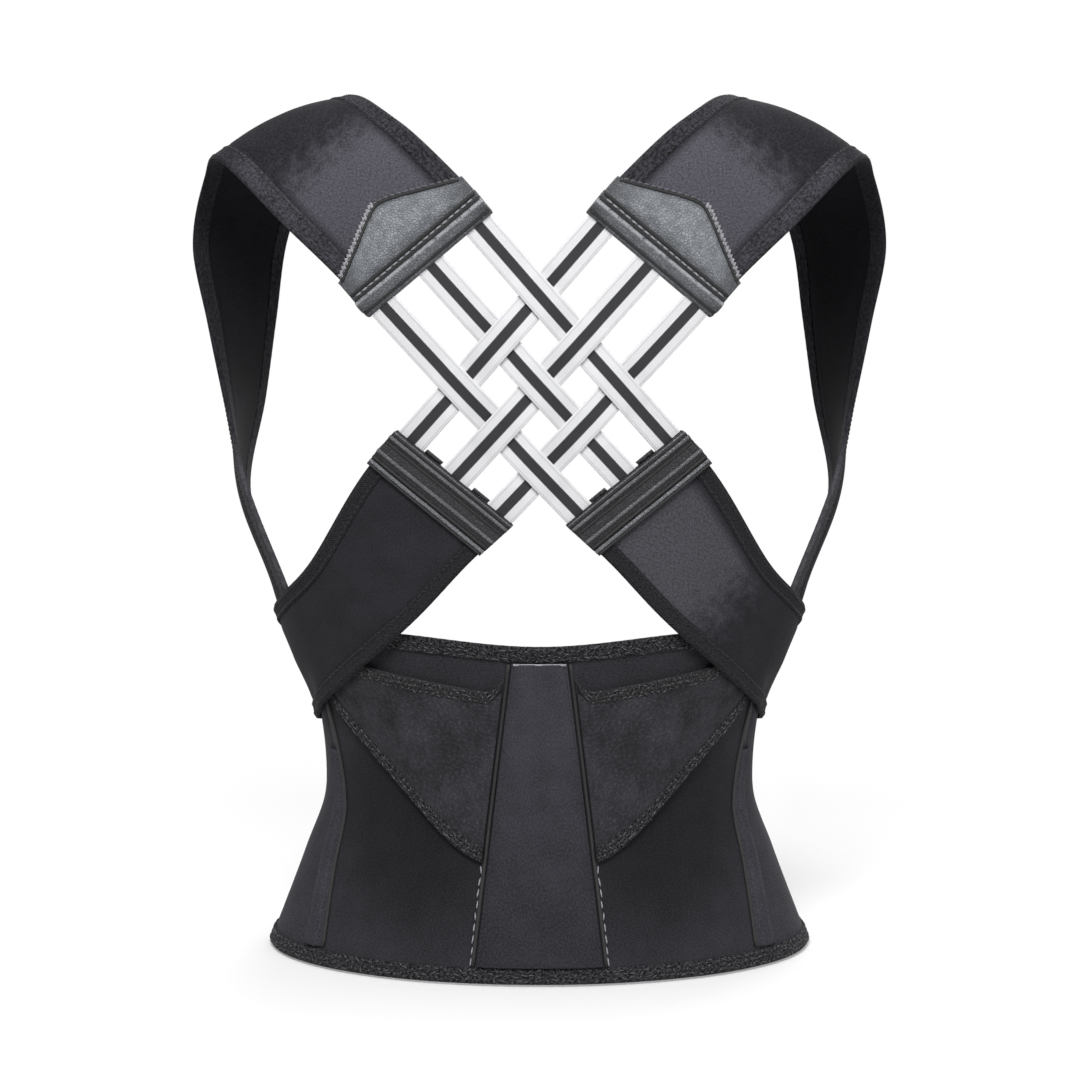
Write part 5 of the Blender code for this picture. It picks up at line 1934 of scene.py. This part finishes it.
        settle(Cordlet(tab + "_outline_seam", lambda s: outline(s, 0.0, -0.0002), 0.0009, 80), BLACK_THREAD,
               hold)
        for word, aside, finish in (("row", -0.0004, BLACK_THREAD), ("specks", -0.0016, GREY_THREAD)):
            row = Seam(f"{tab}_outline_{word}", shifted(outline, aside, 0.0), 0.100, pitch=0.0040,
                       radius=0.0007)
            settle(row, finish, hold)
        slope = Seam(tab + "_slope_zigzag",
                     lambda a, b, c: outline(0.01 + 0.47 * a, b - 0.0022, c - 0.0002), 0.052,
                     Stitch.ZIGZAG, 0.0029, 0.0036, 0.00085, 0.0006)
        settle(slope, PALE_THREAD_AND_HIGHLIGHT, hold)


# Elastic cross


@dataclass
class ElasticCross:
    """Six striped bands woven over and under each other between the four strap ends."""

    shoulders: ShoulderStraps
    straps: CrossStraps
    tab_pitch: float = 0.032
    clip_pitch: float = 0.0295
    width: float = 0.0160
    thick: float = 0.0012
    weave_gap: float = 0.0006
    sharpness: float = 1.6
    gap: float = 0.0005
    tuck: float = 0.0022
    woven_margin: float = 0.0100
    indexes: tuple[int, ...] = (1, 0, -1)

    def ends(self, index: int) -> tuple[Vector, Vector, Vector, Vector]:
        """Centres and nose directions of both ends of a band from the right tab to the left cross strap."""
        tab, clip = self.shoulders.tab_tilt, self.straps.clip_tilt
        tab_along, clip_along = Vector((-cos(tab), sin(tab))), Vector((-cos(clip), sin(clip)))
        top = Vector((self.shoulders.tab_x, self.shoulders.tab_height)) + tab_along * (index * self.tab_pitch)
        low = Vector((-self.straps.clip_x, self.straps.clip_height)) + clip_along * (index * self.clip_pitch)
        top += Vector((-sin(tab), -cos(tab))) * self.gap
        low += Vector((sin(clip), cos(clip))) * self.gap
        return top, low, tab_along, clip_along

    def crossing(self, index: int, other: int) -> float:
        """Share of a band's length at which a band of the mirrored set crosses it."""
        top, low, _, _ = self.ends(index)
        far_top, far_low, _, _ = self.ends(other)
        run = low - top
        across = Vector((far_top.x - far_low.x, far_low.y - far_top.y))
        to = Vector((-far_top.x, far_top.y)) - top
        return (to.x * across.y - to.y * across.x) / (run.x * across.y - run.y * across.x)

    def weave(self, share: float, crossings: Sequence[float], first_over: float) -> float:
        """Height of a band above the cross's middle surface."""
        low, middle, high = crossings
        step = middle - low if share <= middle else high - middle
        count = 1.0 + (share - middle) / step
        if not -0.5 < count < 2.5:
            return 0.0
        wave = max(-1.0, min(1.0, self.sharpness * cos(pi * count)))
        return 0.5 * (self.thick + self.weave_gap) * wave * first_over

    def band(self, side: Side, number: int, index: int) -> None:
        """Make one band.

        Args:
            side: Side of the tab that carries it.
            number: Its number from the outside in.
            index: Its place along the tab's nose.
        """
        top, low, tab_along, clip_along = self.ends(index)
        run = (low - top).normalized()
        length = (low - top).length
        tab_half, clip_half = (0.5 * self.width * along / abs(along.x * run.y - along.y * run.x)
                               for along in (tab_along, clip_along))
        crossings = [self.crossing(index, other) for other in self.indexes]
        order = 1.0 if number % 2 else -1.0
        tuck = self.tuck / length

        def place(along: float, across: float, layer: float) -> Vector:
            """Spot of the band, whose ends run on into the leather."""
            row = blend(-tuck, 1.0 + tuck, along)
            step = 2.0 * across - 1.0
            spot = blend(top + tab_half * step, low + clip_half * step, row)
            height = self.straps.cross_layer + self.weave(row, crossings, -side.value * order)
            return side.mirror(TORSO.back_point(spot.x, spot.y, height + layer))

        def layers(_along: float, across: float) -> Pair:
            """Even, with a slightly thicker woven edge."""
            bead = 0.00008 * ease((abs(across - 0.5) - 0.40) / 0.06)
            return -0.5 * self.thick - bead, 0.5 * self.thick + bead

        name = f"{side.label}_elastic_{number}"
        sheet = Sheet(name + "_weave", place, length + 2.0 * self.tuck, self.width, layers,
                      0.0020, 0.0010, 0.0005)
        woven = blend(top, low, min(crossings) - self.woven_margin / length)
        still, pulled = (tuple(side.mirror(TORSO.back_point(spot.x, spot.y, 0.0))) for spot in (woven, top))
        hold = Bend(side.label + "_shoulder", still, pulled)
        sheet.declare(settle(sheet, ELASTIC, hold, [name]))

    def build(self) -> None:
        """Weave the six bands."""
        for side in Side:
            for number, index in enumerate(self.indexes, 1):
                self.band(side, number, index)


# Studio


@dataclass(frozen=True)
class Lamp:
    """Soft square lamp aimed at the brace."""

    name: str
    place: Triple
    size: float
    watts: float

    def build(self, aim: Vector) -> None:
        """Hang the lamp and turn it to the brace."""
        light = bpy.data.lights.new(self.name, "AREA")
        light.size = self.size
        light.energy = self.watts
        lamp = bpy.data.objects.new(self.name, light)
        lamp.location = self.place
        lamp.rotation_euler = (aim - Vector(self.place)).to_track_quat("-Z", "Y").to_euler()
        bpy.context.scene.collection.objects.link(lamp)


@dataclass
class Studio:
    """Pale floor, soft lamps, white surroundings and the camera."""

    aim: Triple = (0.0, 0.0, 0.2277)
    distance: float = 1.6
    elevation: float = radians(7.0)
    lens: float = 95.74
    floor_size: float = 3.0
    ambient: float = 0.26
    lamps: tuple[Lamp, ...] = (
        Lamp("key_lamp", (-0.25, -1.5, 1.75), 0.9, 36.0), Lamp("fill_lamp", (1.4, -1.7, 0.9), 1.2, 11.0),
        Lamp("top_lamp", (0.0, 0.3, 2.0), 1.2, 10.0), Lamp("front_lamp", (0.6, 1.7, 1.0), 1.2, 12.0))

    @staticmethod
    def seen(graph: Graph) -> Value:
        """Mask of the rays that show the surroundings themselves."""
        path = graph.outputs("ShaderNodeLightPath")
        shown = graph.math("MAXIMUM", path["Is Camera Ray"], path["Is Glossy Ray"])
        return graph.math("MAXIMUM", shown, path["Is Transmission Ray"])

    def floor(self) -> None:
        """Round floor that keeps the shadow near the brace and turns white farther out."""
        form = bmesh.new()
        bmesh.ops.create_circle(form, cap_ends=True, radius=self.floor_size, segments=96)
        bmesh.ops.translate(form, verts=form.verts[:], vec=(0.0, 0.0, -0.001))
        piece = place_mesh("studio_floor", form, [])
        material = bpy.data.materials.new("studio_floor")
        material.use_nodes = True
        graph = Graph(material.node_tree)
        nodes = graph.tree.nodes
        nodes.remove(nodes["Principled BSDF"])
        matt = graph.read("ShaderNodeBsdfDiffuse", {"Color": dimmed(WHITE, 0.82)})
        glow = graph.read("ShaderNodeEmission", {"Color": dimmed(WHITE, 0.22), "Strength": self.seen(graph)})
        near = graph.read("ShaderNodeAddShader", {0: matt, 1: glow})
        white = graph.read("ShaderNodeEmission", {"Strength": self.seen(graph)})
        out = graph.read("ShaderNodeVectorMath", {0: graph.object_place()}, "Value", operation="LENGTH")
        mixed = graph.read("ShaderNodeMixShader", {0: graph.ramp(out, 0.25, 0.75), 1: near, 2: white})
        graph.feed(nodes["Material Output"], {0: mixed})
        piece.data.materials.append(material)

    def world(self) -> None:
        """White where it is seen, and a plain grey light elsewhere."""
        world = bpy.data.worlds.new("studio_world")
        world.use_nodes = True
        graph = Graph(world.node_tree)
        nodes = graph.tree.nodes
        graph.feed(nodes["Background"], {0: WHITE})
        white = Value(graph, nodes["Background"].outputs[0])
        soft = graph.read("ShaderNodeBackground", {"Color": WHITE, "Strength": self.ambient})
        mixed = graph.read("ShaderNodeMixShader", {0: self.seen(graph), 1: soft, 2: white})
        graph.feed(nodes["World Output"], {0: mixed})
        bpy.context.scene.world = world

    def camera(self) -> None:
        """Camera behind the wearer, a little above the middle of the back."""
        data = bpy.data.cameras.new("studio_camera")
        data.lens = self.lens
        data.sensor_width = 36.0
        camera = bpy.data.objects.new("studio_camera", data)
        aim = Vector(self.aim)
        away = Vector((0.0, -cos(self.elevation), sin(self.elevation))) * self.distance
        camera.location = aim + away
        camera.rotation_euler = (-away).to_track_quat("-Z", "Y").to_euler()
        bpy.context.scene.collection.objects.link(camera)
        bpy.context.scene.camera = camera

    def build(self) -> None:
        """Set up the studio."""
        self.floor()
        self.world()
        self.camera()
        for lamp in self.lamps:
            lamp.build(Vector(self.aim))
        bpy.context.scene.view_settings.view_transform = "Standard"


def main() -> None:
    """Make every piece of the brace, then the studio."""
    logging.basicConfig(level=logging.INFO, format="%(name)s %(message)s")
    belt = WaistBelt()
    belt.build()
    sleeve = SpineSleeve()
    sleeve.build()
    LumbarWings(sleeve).build()
    FrontFlaps(belt).build()
    straps = CrossStraps()
    straps.build()
    shoulders = ShoulderStraps()
    shoulders.build()
    ElasticCross(shoulders, straps).build()
    Studio().build()


if __name__ == "__main__":
    main()
